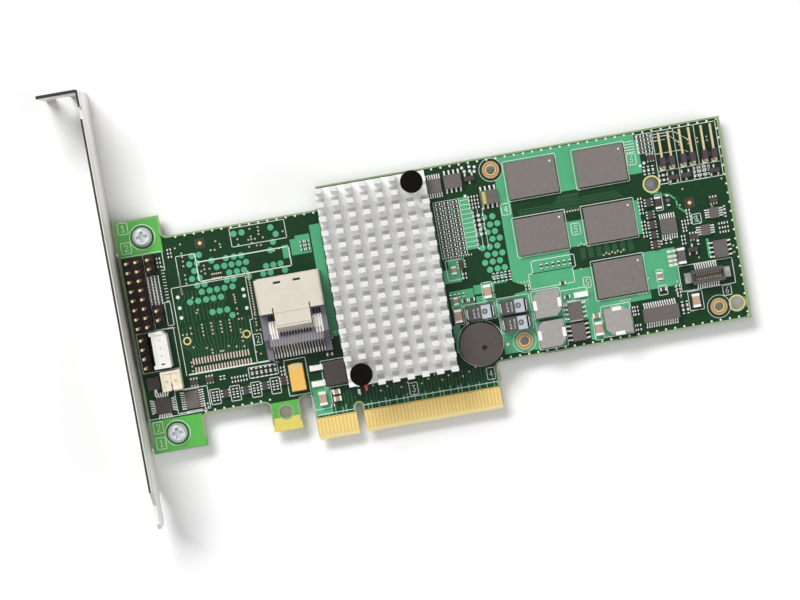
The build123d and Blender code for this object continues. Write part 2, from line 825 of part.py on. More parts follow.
# Beige two-pin connector: open shroud with a polarising slot
with BuildPart() as battery_connector:
    with Locations(battery_centre):
        Box(battery_width, battery_length, battery_height, align=ON_BOARD)
    with Locations((battery_centre[0], battery_centre[1], battery_floor)):
        Box(battery_width - 2 * battery_wall, battery_length - 2 * battery_wall,
            battery_height - battery_floor, align=ON_BOARD, mode=Mode.SUBTRACT)
        with Locations((0, (battery_wall - battery_length) / 2)):
            Box(battery_slot, battery_wall, battery_height - battery_floor, align=ON_BOARD,
                mode=Mode.SUBTRACT)
    with Locations(battery_centre):
        with GridLocations(battery_pin_pitch, 1, 2, 1):
            Box(connector_pin_side, connector_pin_side, battery_floor, align=ON_BOARD,
                mode=Mode.SUBTRACT)
write(battery_connector.part, "battery_connector")

# Pins of both small connectors
with BuildPart(mode=Mode.PRIVATE) as connector_pin:
    with Locations((0, 0, -board_thickness - pin_below)):
        Box(connector_pin_side, connector_pin_side,
            connector_pin_top + board_thickness + pin_below, align=ON_BOARD)
    chamfer(connector_pin.faces().sort_by(Axis.Z)[-1].edges(), connector_pin_tip)
with BuildPart() as wafer_pins:
    with Locations(wafer_centre):
        with GridLocations(1, wafer_pin_pitch, 1, 3):
            add(connector_pin.part)
write(wafer_pins.part, "wafer_pins")

with BuildPart() as battery_pins:
    with Locations(battery_centre):
        with GridLocations(battery_pin_pitch, 1, 2, 1):
            add(connector_pin.part)
write(battery_pins.part, "battery_pins")

# Right-angle headers: block on the card, pins out towards the top edge and down behind
angle_block_middle = angle_block_front - angle_block_depth / 2
with BuildPart() as angle_headers:
    with Locations(*[(x, angle_block_middle, 0) for x in angle_header_places]):
        Box(2 * header_pitch, angle_block_depth, header_height, align=ON_BOARD)
    with Locations(*[(x, angle_block_middle, header_height) for x in angle_header_places]):
        Box(angle_notch, angle_block_depth, angle_notch, rotation=(0, 45, 0),
            mode=Mode.SUBTRACT)
    with Locations(*[(x, angle_block_middle, angle_pin_height) for x in angle_pins_x]):
        Box(pin_side, angle_block_depth, pin_side, mode=Mode.SUBTRACT)
write(angle_headers.part, "angle_headers")

with BuildPart() as angle_header_pins:
    for x in angle_pins_x:
        with BuildSketch(Plane.YZ.offset(x - pin_side / 2)):
            pin_high = angle_pin_height + pin_side / 2
            pin_low = -board_thickness - pin_below
            with BuildLine():
                Polyline((angle_pin_bend, pin_low), (angle_pin_bend, pin_high - angle_pin_cut),
                         (angle_pin_bend + angle_pin_cut, pin_high), (angle_pin_end, pin_high),
                         (angle_pin_end, pin_high - pin_side),
                         (angle_pin_bend + pin_side, pin_high - pin_side),
                         (angle_pin_bend + pin_side, pin_low), close=True)
            make_face()
        extrude(amount=pin_side)
write(angle_header_pins.part, "angle_header_pins")

# Board-to-board connector: open box, two rows of contacts and a metal tab at each end
with BuildPart() as stack_connector:
    with Locations(stack_centre):
        Box(stack_length - 2 * stack_tab_length, stack_width, stack_height, align=ON_BOARD)
    with Locations((stack_centre[0], stack_centre[1], stack_height - stack_slot_depth)):
        Box(stack_slot_length, stack_slot_width, stack_slot_depth, align=ON_BOARD,
            mode=Mode.SUBTRACT)
write(stack_connector.part, "stack_connector")

stack_lead = gull_wing(stack_lead_height, stack_lead_width, stack_lead_reach)
with BuildPart() as stack_contacts:
    for side in (0, 180):
        with Locations(Location((stack_centre[0], stack_centre[1], 0), (0, 0, side))):
            with Locations((0, stack_width / 2, 0)):
                with GridLocations(stack_contact_pitch, 1, stack_contact_count, 1):
                    add(stack_lead)
write(stack_contacts.part, "stack_contacts")

with BuildPart() as stack_tabs:
    for side in (-1, 1):
        with Locations((stack_centre[0] + side * (stack_length - stack_tab_length) / 2,
                        stack_centre[1], 0)):
            Box(stack_tab_length, stack_tab_width, stack_tab_height, align=ON_BOARD)
write(stack_tabs.part, "stack_tabs")

# Moulded packages, one node for each kind
write(package_bodies(so8, so8_places), "logic_chips")
write(package_bodies(so8, power_so8_places), "power_transistors")
write(package_bodies(qsop, qsop_places), "driver_chips")
write(package_bodies(ssop, ssop_places), "power_controller")
write(package_bodies(tssop, tssop_places), "buffer_chip")
write(package_bodies(msop, msop_places), "sensor_chips")
write(package_bodies(tsop6, tsop6_places), "switch_chip")
write(package_bodies(sot, sot_places), "small_transistors")

# Leads of the moulded packages
write(package_leads([(so8, so8_lead_count, so8_leads, so8_places + power_so8_places)]),
      "wide_leads")
write(package_leads([(qsop, qsop_lead_count, qsop_leads, qsop_places),
                     (ssop, ssop_lead_count, ssop_leads, ssop_places),
                     (tssop, tssop_lead_count, tssop_leads, tssop_places),
                     (msop, msop_lead_count, msop_leads, msop_places)]),
      "fine_leads")
write(package_leads([(tsop6, tsop6_lead_count, tsop6_leads, tsop6_places),
                     (sot, sot_lead_count, sot_leads, sot_places)]),
      "transistor_leads")

# Leadless chip and regulator
with BuildPart() as leadless_chip:
    with Locations(qfn_centre):
        Box(qfn_side, qfn_side, qfn_height, align=ON_BOARD)
write(leadless_chip.part, "leadless_chip")

with BuildPart() as power_regulator:
    with Locations(regulator_centre):
        Box(regulator_width, regulator_length, regulator_height, align=ON_BOARD)
        chamfer(power_regulator.faces().sort_by(Axis.Z)[-1].edges(), regulator_edge)
write(power_regulator.part, "power_regulator")

# Tantalum and polymer capacitors on folded terminals
with BuildPart(mode=Mode.PRIVATE) as capacitor_case:
    with Locations((0, 0, case_lift)):
        Box(polymer_length, polymer_width, polymer_height, align=ON_BOARD)
    chamfer(capacitor_case.faces().sort_by(Axis.Z)[-1].edges(), case_edge)
with BuildPart(mode=Mode.PRIVATE) as case_terminals:
    for side in (-1, 1):
        with Locations((side * (polymer_length + terminal_thickness) / 2, 0, 0)):
            Box(terminal_thickness, terminal_width, polymer_height / 2, align=ON_BOARD)
        with Locations((side * (polymer_length - terminal_reach) / 2, 0, 0)):
            Box(terminal_reach, terminal_width, case_lift, align=ON_BOARD)
with BuildPart() as polymer_capacitors:
    with Locations(*polymer_centres):
        add(capacitor_case.part)
write(polymer_capacitors.part, "polymer_capacitors")

with BuildPart() as tantalum_capacitor:
    with Locations(Location((*tantalum_centre, 0), (0, 0, 90))):
        add(capacitor_case.part)
write(tantalum_capacitor.part, "tantalum_capacitor")

with BuildPart() as capacitor_terminals:
    with Locations(*polymer_centres):
        add(case_terminals.part)
    with Locations(Location((*tantalum_centre, 0), (0, 0, 90))):
        add(case_terminals.part)
write(capacitor_terminals.part, "capacitor_terminals")

# Shielded inductors: two corners cut, one plate folded up each of two sides
with BuildPart(mode=Mode.PRIVATE) as inductor:
    Box(inductor_side, inductor_side, inductor_height, align=ON_BOARD)
    upright = inductor.edges().filter_by(Axis.Z)
    chamfer([upright.sort_by_distance((-inductor_side, inductor_side, 0))[0],
             upright.sort_by_distance((inductor_side, -inductor_side, 0))[0]], inductor_chamfer)
    for side in (-1, 1):
        with Locations((side * (inductor_side - inductor_plate_reach) / 2, 0,
                        inductor_height - inductor_plate)):
            Box(inductor_plate_reach, inductor_plate_width, inductor_plate, align=ON_BOARD,
                mode=Mode.SUBTRACT)
with BuildPart(mode=Mode.PRIVATE) as inductor_plates:
    for side in (-1, 1):
        with Locations((side * (inductor_side + inductor_plate) / 2, 0, 0)):
            Box(inductor_plate, inductor_plate_width, inductor_height, align=ON_BOARD)
        with Locations((side * (inductor_side - inductor_plate_reach) / 2, 0,
                        inductor_height - inductor_plate)):
            Box(inductor_plate_reach, inductor_plate_width, inductor_plate, align=ON_BOARD)
with BuildPart() as power_inductors:
    for x, y, turn in inductor_places:
        with Locations(Location((x, y, 0), (0, 0, turn))):
            add(inductor.part)
write(power_inductors.part, "power_inductors")

with BuildPart() as inductor_terminals:
    for x, y, turn in inductor_places:
        with Locations(Location((x, y, 0), (0, 0, turn))):
            add(inductor_plates.part)
write(inductor_terminals.part, "inductor_terminals")

# Sounder: round case with a small sound hole
with BuildPart() as sounder:
    with BuildSketch():
        with Locations(sounder_centre):
            RegularPolygon(sounder_radius, sounder_sides)
    extrude(amount=sounder_height)
    with BuildSketch(Plane.XY.offset(sounder_height)):
        with Locations((sounder_centre[0] + sounder_hole_offset[0],
                        sounder_centre[1] + sounder_hole_offset[1])):
            RegularPolygon(sounder_hole_radius, hole_sides)
    extrude(amount=-sounder_hole_depth, mode=Mode.SUBTRACT)
write(sounder.part, "sounder")

# Large ceramic capacitors: brown block between two metal ends
ceramic_ends = capped_ends(ceramic_length, ceramic_width, ceramic_height, ceramic_end)
with BuildPart() as ceramic_capacitors:
    for x, y, turn in ceramic_places:
        with Locations(Location((x, y, 0), (0, 0, turn))):
            Box(ceramic_length - 2 * ceramic_end, ceramic_width, ceramic_height, align=ON_BOARD)
write(ceramic_capacitors.part, "ceramic_capacitors")

with BuildPart() as ceramic_terminals:
    for x, y, turn in ceramic_places:
        with Locations(Location((x, y, 0), (0, 0, turn))):
            add(ceramic_ends)
write(ceramic_terminals.part, "ceramic_terminals")

# Protection diode: black block between two metal ends
diode_metal = capped_ends(diode_length, diode_width, diode_height, ceramic_end)
with BuildPart() as protection_diode:
    with Locations(diode_centre):
        Box(diode_width, diode_length - 2 * ceramic_end, diode_height, align=ON_BOARD)
write(protection_diode.part, "protection_diode")

with BuildPart() as diode_ends:
    with Locations(Location((*diode_centre, 0), (0, 0, 90))):
        add(diode_metal)
write(diode_ends.part, "diode_ends")

# Red indicator
with BuildPart() as status_led:
    with Locations(led_centre):
        Box(led_width, led_length, led_height, align=ON_BOARD)
        chamfer(status_led.faces().sort_by(Axis.Z)[-1].edges(), led_edge)
write(status_led.part, "status_led")

# Small chip resistors and capacitors in their fields
with BuildPart() as chip_parts:
    for (x, y, pitch_x, pitch_y, turn), columns, rows in zip(
            chip_fields, chip_field_columns, chip_field_rows):
        with Locations((x, y)):
            with GridLocations(pitch_x, pitch_y, columns, rows):
                Box(chip_length, chip_width, chip_height, rotation=(0, 0, turn), align=ON_BOARD)
write(chip_parts.part, "chip_parts")
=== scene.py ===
import bmesh
import bpy
import numpy as np
from mathutils import Matrix, Vector


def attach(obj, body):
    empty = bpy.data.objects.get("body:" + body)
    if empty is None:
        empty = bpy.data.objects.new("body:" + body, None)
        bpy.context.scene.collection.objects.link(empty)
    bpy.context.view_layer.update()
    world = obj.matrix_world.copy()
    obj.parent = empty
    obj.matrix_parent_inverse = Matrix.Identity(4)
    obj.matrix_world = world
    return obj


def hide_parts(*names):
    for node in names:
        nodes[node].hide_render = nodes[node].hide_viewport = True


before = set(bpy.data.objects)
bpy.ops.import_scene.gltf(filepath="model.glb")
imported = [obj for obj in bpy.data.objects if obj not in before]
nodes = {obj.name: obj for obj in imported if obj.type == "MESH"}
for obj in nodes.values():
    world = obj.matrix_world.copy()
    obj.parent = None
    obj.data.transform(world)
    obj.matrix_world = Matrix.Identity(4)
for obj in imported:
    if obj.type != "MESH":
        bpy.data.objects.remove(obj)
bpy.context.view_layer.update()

# Solder mask of the card: a glossy green lacquer over copper and glass cloth.
# Lacquer over bare laminate is dark, and the routed edge shows the pale laminate itself.
# Every finish of this file is made by the class below, whose sums become shader nodes.
MM = 0.001


class Amount:
    """A number inside a finish. Sums and products of amounts become Math nodes."""

    def __init__(self, finish, socket):
        self.finish = finish
        self.socket = socket

    def maths(self, operation, first, second):
        node = self.finish.add("ShaderNodeMath", {"operation": operation}, {0: first, 1: second})
        return Amount(self.finish, node.outputs[0])

    def __add__(self, other):
        return self.maths("ADD", self, other)

    __radd__ = __add__

    def __mul__(self, other):
        return self.maths("MULTIPLY", self, other)

    __rmul__ = __mul__

    def __sub__(self, other):
        return self.maths("SUBTRACT", self, other)

    def __rsub__(self, other):
        return self.maths("SUBTRACT", other, self)

    def above(self, limit):
        return self.maths("GREATER_THAN", self, limit)

    def size(self):
        return self.maths("ABSOLUTE", self, 0.0)

    def beside(self, start, pitch):
        """Distance from the nearest of the places start, start plus pitch, and so on."""
        turn = (self - start) * (1 / pitch) + 0.5
        return (self.maths("FRACT", turn, 0.0) - 0.5) * pitch


class Finish:
    """One material: a Principled shader whose sockets take numbers, colours or amounts."""

    def __init__(self, name, **sockets):
        self.material = bpy.data.materials.new(name)
        self.material.use_nodes = True
        self.tree = self.material.node_tree
        self.shader = self.tree.nodes["Principled BSDF"]
        self.place = self.add("ShaderNodeTexCoord").outputs["Object"]
        self.set(**sockets)

    def put(self, socket, value):
        if isinstance(value, Amount):
            self.tree.links.new(value.socket, socket)
        elif isinstance(value, bpy.types.NodeSocket):
            self.tree.links.new(value, socket)
        elif isinstance(value, tuple) and len(value) == 3 and socket.type == "RGBA":
            socket.default_value = (*value, 1.0)
        else:
            socket.default_value = value

    def add(self, kind, settings=None, values=None):
        node = self.tree.nodes.new(kind)
        for key, value in (settings or {}).items():
            setattr(node, key, value)
        for key, value in (values or {}).items():
            self.put(node.inputs[key], value)
        return node

    def set(self, **sockets):
        for key, value in sockets.items():
            self.put(self.shader.inputs[key.replace("_", " ")], value)

    def noise(self, grain, detail=2.0, stretch=(1.0, 1.0, 1.0)):
        """Smooth noise whose features are about one grain wide, in millimetres."""
        spread = self.add("ShaderNodeMapping", {}, {"Vector": self.place, "Scale": stretch})
        node = self.add("ShaderNodeTexNoise", {}, {"Vector": spread.outputs[0],
                                                   "Scale": 1 / (grain * MM), "Detail": detail})
        return Amount(self, node.outputs["Fac"])

    def blend(self, first, second, share):
        """The first colour where share is 0, the second where it is 1."""
        node = self.add("ShaderNodeMix", {"data_type": "RGBA"}, {0: share, 6: first, 7: second})
        return node.outputs[2]

    def relief(self, height, depth, strength=1.0):
        """Bump of that depth in millimetres."""
        node = self.add("ShaderNodeBump", {}, {"Height": height, "Distance": depth * MM,
                                               "Strength": strength})
        self.set(Normal=node.outputs[0])

    def along(self, axis):
        """Place along an axis of the card, in millimetres."""
        split = self.add("ShaderNodeSeparateXYZ", {}, {0: self.place})
        return Amount(self, split.outputs[axis]) * (1 / MM)

    def facing_up(self):
        """1 on faces that lie flat, 0 on upright ones."""
        normal = self.add("ShaderNodeNewGeometry").outputs["Normal"]
        split = self.add("ShaderNodeSeparateXYZ", {}, {0: normal})
        return Amount(self, split.outputs[2]).size().above(0.6)


def plain_finish(name, colour, second, grain, roughness, metallic=0.0, depth=0.004, coat=0.0,
                 gloss=0.5):
    """Finish whose colour wanders between two shades, with a fine grain in its surface."""
    finish = Finish(name, Metallic=metallic, Coat_Weight=coat, Specular_IOR_Level=gloss)
    cloud = finish.noise(grain, 3.0)
    fine = finish.noise(grain / 9, 2.0)
    finish.set(Base_Color=finish.blend(colour, second, cloud),
               Roughness=fine * 0.16 + (roughness - 0.08))
    finish.relief(fine, depth)
    return finish


def wear(node, finish):
    """Gives a node of the frame its finish."""
    nodes[node].data.materials.clear()
    nodes[node].data.materials.append(finish.material)


mask_dark = (0.009, 0.046, 0.015)
mask_deep = (0.004, 0.028, 0.009)
laminate = (0.34, 0.46, 0.17)
bevelled_tip = (0.92, 0.76, 0.36)
board_finish = Finish("card_lacquer", Specular_IOR_Level=0.14)
weave_x = board_finish.noise(0.55, 1.0, (0.25, 1.0, 1.0))
weave_y = board_finish.noise(0.55, 1.0, (1.0, 0.25, 1.0))
buried = board_finish.noise(2.6, 2.0, (1.0, 0.2, 1.0))
cloth = weave_x * weave_y
bevel_end = 1.16
lacquer = board_finish.blend(mask_deep, mask_dark, cloth * 1.8 + buried * 0.5)
board_face = board_finish.blend(laminate, lacquer, board_finish.facing_up())
board_finish.set(Base_Color=board_finish.blend(bevelled_tip, board_face,
                                               board_finish.along(1).above(bevel_end)),
                 Roughness=cloth * 0.25 + 0.3)
board_finish.relief(cloth + buried, 0.02)
wear("circuit_board", board_finish)

# Copper pours: broad copper areas under the lacquer, which look pale green there.
# Each is a flat plate a few hundredths thick, etched in the outline that the card shows.
# Flat plates, dots and blocks are all outlines carried up a few levels.
bottom_face = -1.57
pour_height = 0.03


def rectangle(width, length):
    """Four corners of an upright rectangle round the origin, counter-clockwise."""
    return np.array([[-1, -1], [1, -1], [1, 1], [-1, 1]]) * [width / 2, length / 2]


def circle(radius, sides=20):
    """Points of a circle: radius times cosine and sine of an even angle."""
    angle = np.arange(sides) * 2 * np.pi / sides
    return radius * np.stack([np.cos(angle), np.sin(angle)], -1)


def rounded(width, length, radius, steps=4):
    """Rectangle with quarter-circle corners: each corner's centre plus a turning radius."""
    angle = np.linspace(0, np.pi / 2, steps)
    quarter = np.stack([np.cos(angle), np.sin(angle)], -1) * radius
    corners = []
    for turn, (sx, sy) in enumerate(((1, 1), (-1, 1), (-1, -1), (1, -1))):
        cosine, sine = np.cos(turn * np.pi / 2), np.sin(turn * np.pi / 2)
        spun = quarter @ np.array([[cosine, sine], [-sine, cosine]])
        corners.append(spun + [sx * (width / 2 - radius), sy * (length / 2 - radius)])
    return np.concatenate(corners)


def levels(outline, *steps):
    """Stacks an outline at several heights: each step is (height, scale or inset outline)."""
    return np.array([np.column_stack([outline * grow, np.full(len(outline), height)])
                     for height, grow in steps])


def carried(rings, places):
    """Closed rings joined level by level and capped, set at each place (x, y, z, turn).

    A ring's point turns by the place's angle about Z and moves to the place."""
    places = np.atleast_2d(np.asarray(places, float))
    turn = np.radians(places[:, 3])[:, None, None]
    x = rings[..., 0] * np.cos(turn) - rings[..., 1] * np.sin(turn) + places[:, 0, None, None]
    y = rings[..., 0] * np.sin(turn) + rings[..., 1] * np.cos(turn) + places[:, 1, None, None]
    z = rings[..., 2] + places[:, 2, None, None] + 0 * x
    index = np.arange(x.size).reshape(x.shape)
    after = np.roll(index, -1, axis=2)
    quads = np.stack([index[:, :-1], after[:, :-1], after[:, 1:], index[:, 1:]], -1)
    faces = quads.reshape(-1, 4).tolist()
    faces += index[:, 0, ::-1].tolist() + index[:, -1].tolist()
    return np.stack([x, y, z], -1).reshape(-1, 3), faces


def hoops(radius_in, radius_out, low, high, places, sides=28):
    """Flat rings: a four-cornered section carried round a circle."""
    angle = np.arange(sides) * 2 * np.pi / sides
    radii = np.array([radius_out, radius_out, radius_in, radius_in])
    heights = np.array([low, high, high, low])
    ring = np.stack([radii[None] * np.cos(angle)[:, None], radii[None] * np.sin(angle)[:, None],
                     np.tile(heights, (sides, 1))], -1)
    places = np.atleast_2d(np.asarray(places, float))
    grid = ring[None] + np.column_stack([places, np.zeros(len(places))])[:, None, None]
    index = np.arange(len(places) * sides * 4).reshape(len(places), sides, 4)
    after, beside = np.roll(index, -1, 1), np.roll(index, -1, 2)
    both = np.roll(after, -1, 2)
    faces = np.stack([index, after, both, beside], -1).reshape(-1, 4).tolist()
    return grid.reshape(-1, 3), faces


def strokes(routes, width, low, high):
    """Printed or etched lines: a bar along each step of each route, lengthened by its width."""
    steps = [(a, b) for route in routes for a, b in zip(route[:-1], route[1:])]
    ends = np.array(steps, float)
    along = ends[:, 1] - ends[:, 0]
    length = np.hypot(along[:, 0], along[:, 1])
    turn = np.arctan2(along[:, 1], along[:, 0])
    middle = ends.mean(axis=1)
    corners = np.array([[-1, -1], [1, -1], [1, 1], [-1, 1]])
    half = np.stack([length / 2 + width / 2, np.full(len(length), width / 2)], -1)
    flat = corners[None] * half[:, None]
    x = flat[..., 0] * np.cos(turn)[:, None] - flat[..., 1] * np.sin(turn)[:, None]
    y = flat[..., 0] * np.sin(turn)[:, None] + flat[..., 1] * np.cos(turn)[:, None]
    base = np.stack([x, y], -1) + middle[:, None]
    both = np.stack([np.concatenate([base, np.full((*base.shape[:2], 1), z)], -1)
                     for z in (low, high)], 1)
    index = np.arange(len(steps) * 8).reshape(-1, 2, 4)
    after = np.roll(index, -1, 2)
    quads = np.stack([index[:, 0], after[:, 0], after[:, 1], index[:, 1]], -1).reshape(-1, 4)
    faces = quads.tolist() + index[:, 0, ::-1].tolist() + index[:, 1].tolist()
    return both.reshape(-1, 3), faces


def piece(name, layers, smooth=False):
    """One object from several (points and faces, finish) layers, riding on the card."""
    mesh = bpy.data.meshes.new(name)
    points, faces, kinds = [], [], []
    start = 0
    for number, ((where, corners), finish) in enumerate(layers):
        mesh.materials.append(finish.material)
        points.append(where)
        faces += [[start + corner for corner in face] for face in corners]
        kinds += [number] * len(corners)
        start += len(where)
    mesh.from_pydata((np.concatenate(points) * MM).tolist(), [], faces)
    mesh.polygons.foreach_set("material_index", kinds)
    mesh.polygons.foreach_set("use_smooth", [smooth] * len(faces))
    mesh.update()
    made = bpy.data.objects.new(name, mesh)
    bpy.context.scene.collection.objects.link(made)
    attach(made, "root")
    return made


def merged(*shapes):
    """Several (points, faces) pairs as one."""
    points, faces, start = [], [], 0
    for where, corners in shapes:
        points.append(where)
        faces += [[start + corner for corner in face] for face in corners]
        start += len(where)
    return np.concatenate(points), faces


def plates(corners, low, high):
    """Upright boxes over (left, bottom, right, top) rectangles."""
    shapes = []
    for left, bottom, right, top in corners:
        outline = rectangle(right - left, top - bottom)
        place = ((left + right) / 2, (bottom + top) / 2, 0, 0)
        shapes.append(carried(levels(outline, (low, 1), (high, 1)), place))
    return merged(*shapes)


def sheets(outlines, low, high):
    """Plates over free outlines, each a list of corners counter-clockwise."""
    return merged(*[carried(levels(np.array(outline, float), (low, 1), (high, 1)), (0, 0, 0, 0))
                    for outline in outlines])


mask_light = (0.060, 0.345, 0.160)
mask_light_second = (0.085, 0.415, 0.205)
mask_ear = (0.070, 0.360, 0.050)
pour_finish = plain_finish("lacquer_over_copper", mask_light, mask_light_second, 5.0, 0.36,
                           depth=0.01, gloss=0.3)
ear_finish = plain_finish("lacquer_over_ear", mask_ear, (0.115, 0.46, 0.085), 9.0, 0.4,
                          depth=0.01, gloss=0.3)
pours = plates([
    (47.2, 20.4, 50.3, 62.0), (50.3, 65.9, 86.4, 67.9), (83.2, 56.9, 87.2, 65.9),
    (64.1, 55.6, 69.4, 65.9), (50.3, 30.2, 64.0, 40.2), (63.9, 40.2, 69.2, 47.2),
    (82.9, 40.5, 84.7, 49.8), (83.3, 25.0, 92.4, 35.4), (59.0, 22.6, 69.3, 30.2),
    (64.0, 30.2, 69.3, 34.0), (59.0, 20.0, 66.0, 22.6),
    (50.3, 14.2, 59.0, 30.2), (66.0, 14.2, 78.0, 22.6), (69.3, 22.6, 84.0, 24.6),
    (36.3, 44.4, 39.4, 58.8), (30.6, 39.9, 35.2, 42.6), (28.8, 36.2, 33.6, 39.9),
    (36.4, 32.0, 45.6, 34.5), (29.6, 28.9, 36.2, 33.9), (41.9, 14.4, 44.0, 24.6),
    (42.2, 24.6, 44.0, 29.6), (44.0, 20.4, 47.2, 29.6),
    (36.6, 24.6, 42.2, 31.4), (29.0, 17.0, 31.0, 24.6), (-4.9, 27.5, -1.9, 57.2),
    (-12.0, 6.6, -7.2, 16.4), (-13.2, 50.8, -11.4, 54.4), (-9.3, 51.2, -5.3, 56.4),
    (-10.8, 51.2, -9.3, 55.6), (-4.9, 57.2, -1.9, 58.6), (101.2, 31.0, 102.0, 36.2),
], 0, pour_height)
clearings = sheets([[(42.0, 30.0), (49.8, 30.6), (51.4, 31.6), (47.0, 33.9), (42.0, 33.9)]],
                   pour_height, pour_height + 0.015)
piece("copper_pours", [(pours, pour_finish), (clearings, board_finish)])


def patch(name, up, box, low, high, finish, width=0.0):
    """The card's own flat face within a box, as a thin plate that follows its holes and corners.

    The face is cut by the box's four sides. With a width, only its border of that width stays."""
    copy = nodes["circuit_board"].data.copy()
    copy.name = name
    work = bmesh.new()
    work.from_mesh(copy)
    bmesh.ops.remove_doubles(work, verts=work.verts, dist=0.001 * MM)
    away = [face for face in work.faces if face.normal.z * up < 0.9]
    bmesh.ops.delete(work, geom=away, context="FACES")
    if width:
        rim = bmesh.ops.inset_region(work, faces=list(work.faces), thickness=width * MM,
                                     use_boundary=True, use_even_offset=True)["faces"]
        keep = set(rim)
        bmesh.ops.delete(work, geom=[face for face in work.faces if face not in keep],
                         context="FACES")
    left, bottom, right, top = box
    for spot, outward in (((left, 0, 0), (-1, 0, 0)), ((right, 0, 0), (1, 0, 0)),
                          ((0, bottom, 0), (0, -1, 0)), ((0, top, 0), (0, 1, 0))):
        bmesh.ops.bisect_plane(work, geom=work.verts[:] + work.edges[:] + work.faces[:],
                               plane_co=Vector(spot) * MM, plane_no=outward, clear_outer=True)
    bmesh.ops.translate(work, verts=work.verts, vec=(0, 0, up * high * MM))
    bmesh.ops.solidify(work, geom=work.faces[:], thickness=(high - low) * MM)
    bmesh.ops.recalc_face_normals(work, faces=work.faces)
    work.to_mesh(copy)
    work.free()
    copy.materials.clear()
    copy.materials.append(finish.material)
    made = bpy.data.objects.new(name, copy)
    bpy.context.scene.collection.objects.link(made)
    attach(made, "root")
    return made


upper_ear = (-57.3, 58.3, -45.2, 68.4)
lower_ear = (-57.3, 4.2, -42.7, 13.1)
patch("pour_at_upper_hole", 1, (47.2, 62.0, 50.3, 67.9), 0.0, pour_height, pour_finish)
patch("pour_at_lower_hole", 1, (44.0, 14.4, 50.3, 20.4), 0.0, pour_height, pour_finish)
patch("upper_ear", 1, upper_ear, 0.0, pour_height, ear_finish)
patch("lower_ear", 1, lower_ear, 0.0, pour_height, ear_finish)
patch("hook_root", 1, (-24.1, 8.0, -16.0, 12.3), 0.0, pour_height, ear_finish)

# Back of the card: the same copper under lacquer, in plain broad areas.
# The back isn't in the photograph, so its pours are what such a card usually has.
# The solder cones of the pins are made with the pin headers, further down.
back_pours = plates([(50.6, 13.8, 60.0, 67.8), (60.0, 56.0, 92.0, 67.8), (78.0, 22.0, 92.0, 40.0),
                     (-44.0, 14.5, -2.0, 24.0)], bottom_face - pour_height, bottom_face)
piece("back_pours", [(back_pours, pour_finish)])
patch("upper_ear_back", -1, upper_ear, 0.0, pour_height, ear_finish)
patch("lower_ear_back", -1, lower_ear, 0.0, pour_height, ear_finish)

# Etched tracks: fine copper lines under the lacquer, a shade lighter than the card.
# They leave the fingers upwards, fan out under the ports and cross between the memory.
# A track is a bar about two tenths wide that bends by half a right angle.
track_height = 0.02
track_width = 0.16
track_finish = plain_finish("lacquer_over_track", (0.022, 0.100, 0.040), (0.034, 0.135, 0.060),
                            1.5, 0.34, depth=0.004, gloss=0.3)


def bends(start, *moves):
    """Route that starts at a point and makes each (dx, dy) move in turn."""
    return np.cumsum([start, *moves], axis=0)


finger_pitch = 1.0
finger_columns = [-1.5 - i * finger_pitch for i in range(11)] + [1.5 + i * finger_pitch
                                                                 for i in range(38)]
tracks_up = [bends((x, 5.9), (0, 1.1 + 0.5 * (i % 3)), (0.9, 0.9), (0, 2.6 + 0.4 * (i % 4)))
             for i, x in enumerate(finger_columns)]
fans = [bends((-42.2 + 0.8 * i, 28.2), (0, 1.6), ((9.5 - i) * -0.28, 2.5),
              (0, 4.2 + 0.3 * (i % 5))) for i in range(20)]
memory_tracks = [bends((63.6 + 0.42 * i, 50.2), (0, 1.2), (-0.8, 0.8), (0, 1.6), (0.8, 0.8))
                 for i in range(14)]
meander = [(0.35, 0.0) if step % 2 else (0.0, 3.2 * (-1) ** (step // 2)) for step in range(7)]
meanders = [bends((67.0 + 2.2 * i, 36.4), *meander) for i in range(7)]
long_runs = [bends((52.0, 50.9 + 0.55 * i), (8.0 + 0.5 * i, 0), (0.7, 0.7), (20.0 - i, 0))
             for i in range(4)]
left_runs = [bends((-44.0 + 1.1 * i, 38.2), (0, 5.5 - 0.2 * i), (1.2, 1.2), (0, 2.2))
             for i in range(12)]
fine_tracks = strokes(tracks_up + fans + memory_tracks + meanders + long_runs + left_runs,
                      track_width, 0, track_height)
wide_track = strokes([bends((88.6, 50.9), (2.4, 0), (0.5, -0.9), (1.6, 0), (1.9, -1.9), (0.1, -2.0),
                            (5.5, -5.4))], 0.45, 0, track_height)
risers = plates([(x - 0.17, 6.3, x + 0.17, 8.0 + 0.3 * (i % 3))
                 for i, x in enumerate(finger_columns) if i % 5 in (0, 2, 3)],
                0, pour_height + 0.005)
piece("etched_tracks", [(fine_tracks, track_finish), (wide_track, pour_finish),
                                 (risers, pour_finish)])

# Vias: small plated holes that tie the card's layers together, filled with lacquer.
# A row of them stitches the ground copper along every edge of the card, 2.54 mm apart.
# Larger pale dots are capped vias in the fields beside the port and the controller.
via_finish = plain_finish("tinned_via", (0.55, 0.42, 0.30), (0.66, 0.56, 0.44), 0.6, 0.4,
                          metallic=0.2, depth=0.004)
dot_finish = plain_finish("lacquered_dot", (0.075, 0.37, 0.19), (0.10, 0.43, 0.24), 0.9, 0.34,
                          depth=0.006, gloss=0.3)
stitch = 2.54
stitches = [(-41.2 + stitch * i, 61.75) for i in range(16)]
stitches += [(28.0 + stitch * i, 67.76) for i in range(32)]
stitches += [(109.3, 67.85 - stitch * i) for i in range(22)]
stitches += [(109.3 - stitch * i, 13.5) for i in range(28)]
stitches += [(-41.5 + stitch * i, 13.4) for i in range(8)]
rows = np.array([(x, y) for y in (36.9, 36.0, 35.0, 34.0) for x in (-38.4, -35.8, -33.3, -30.8)])
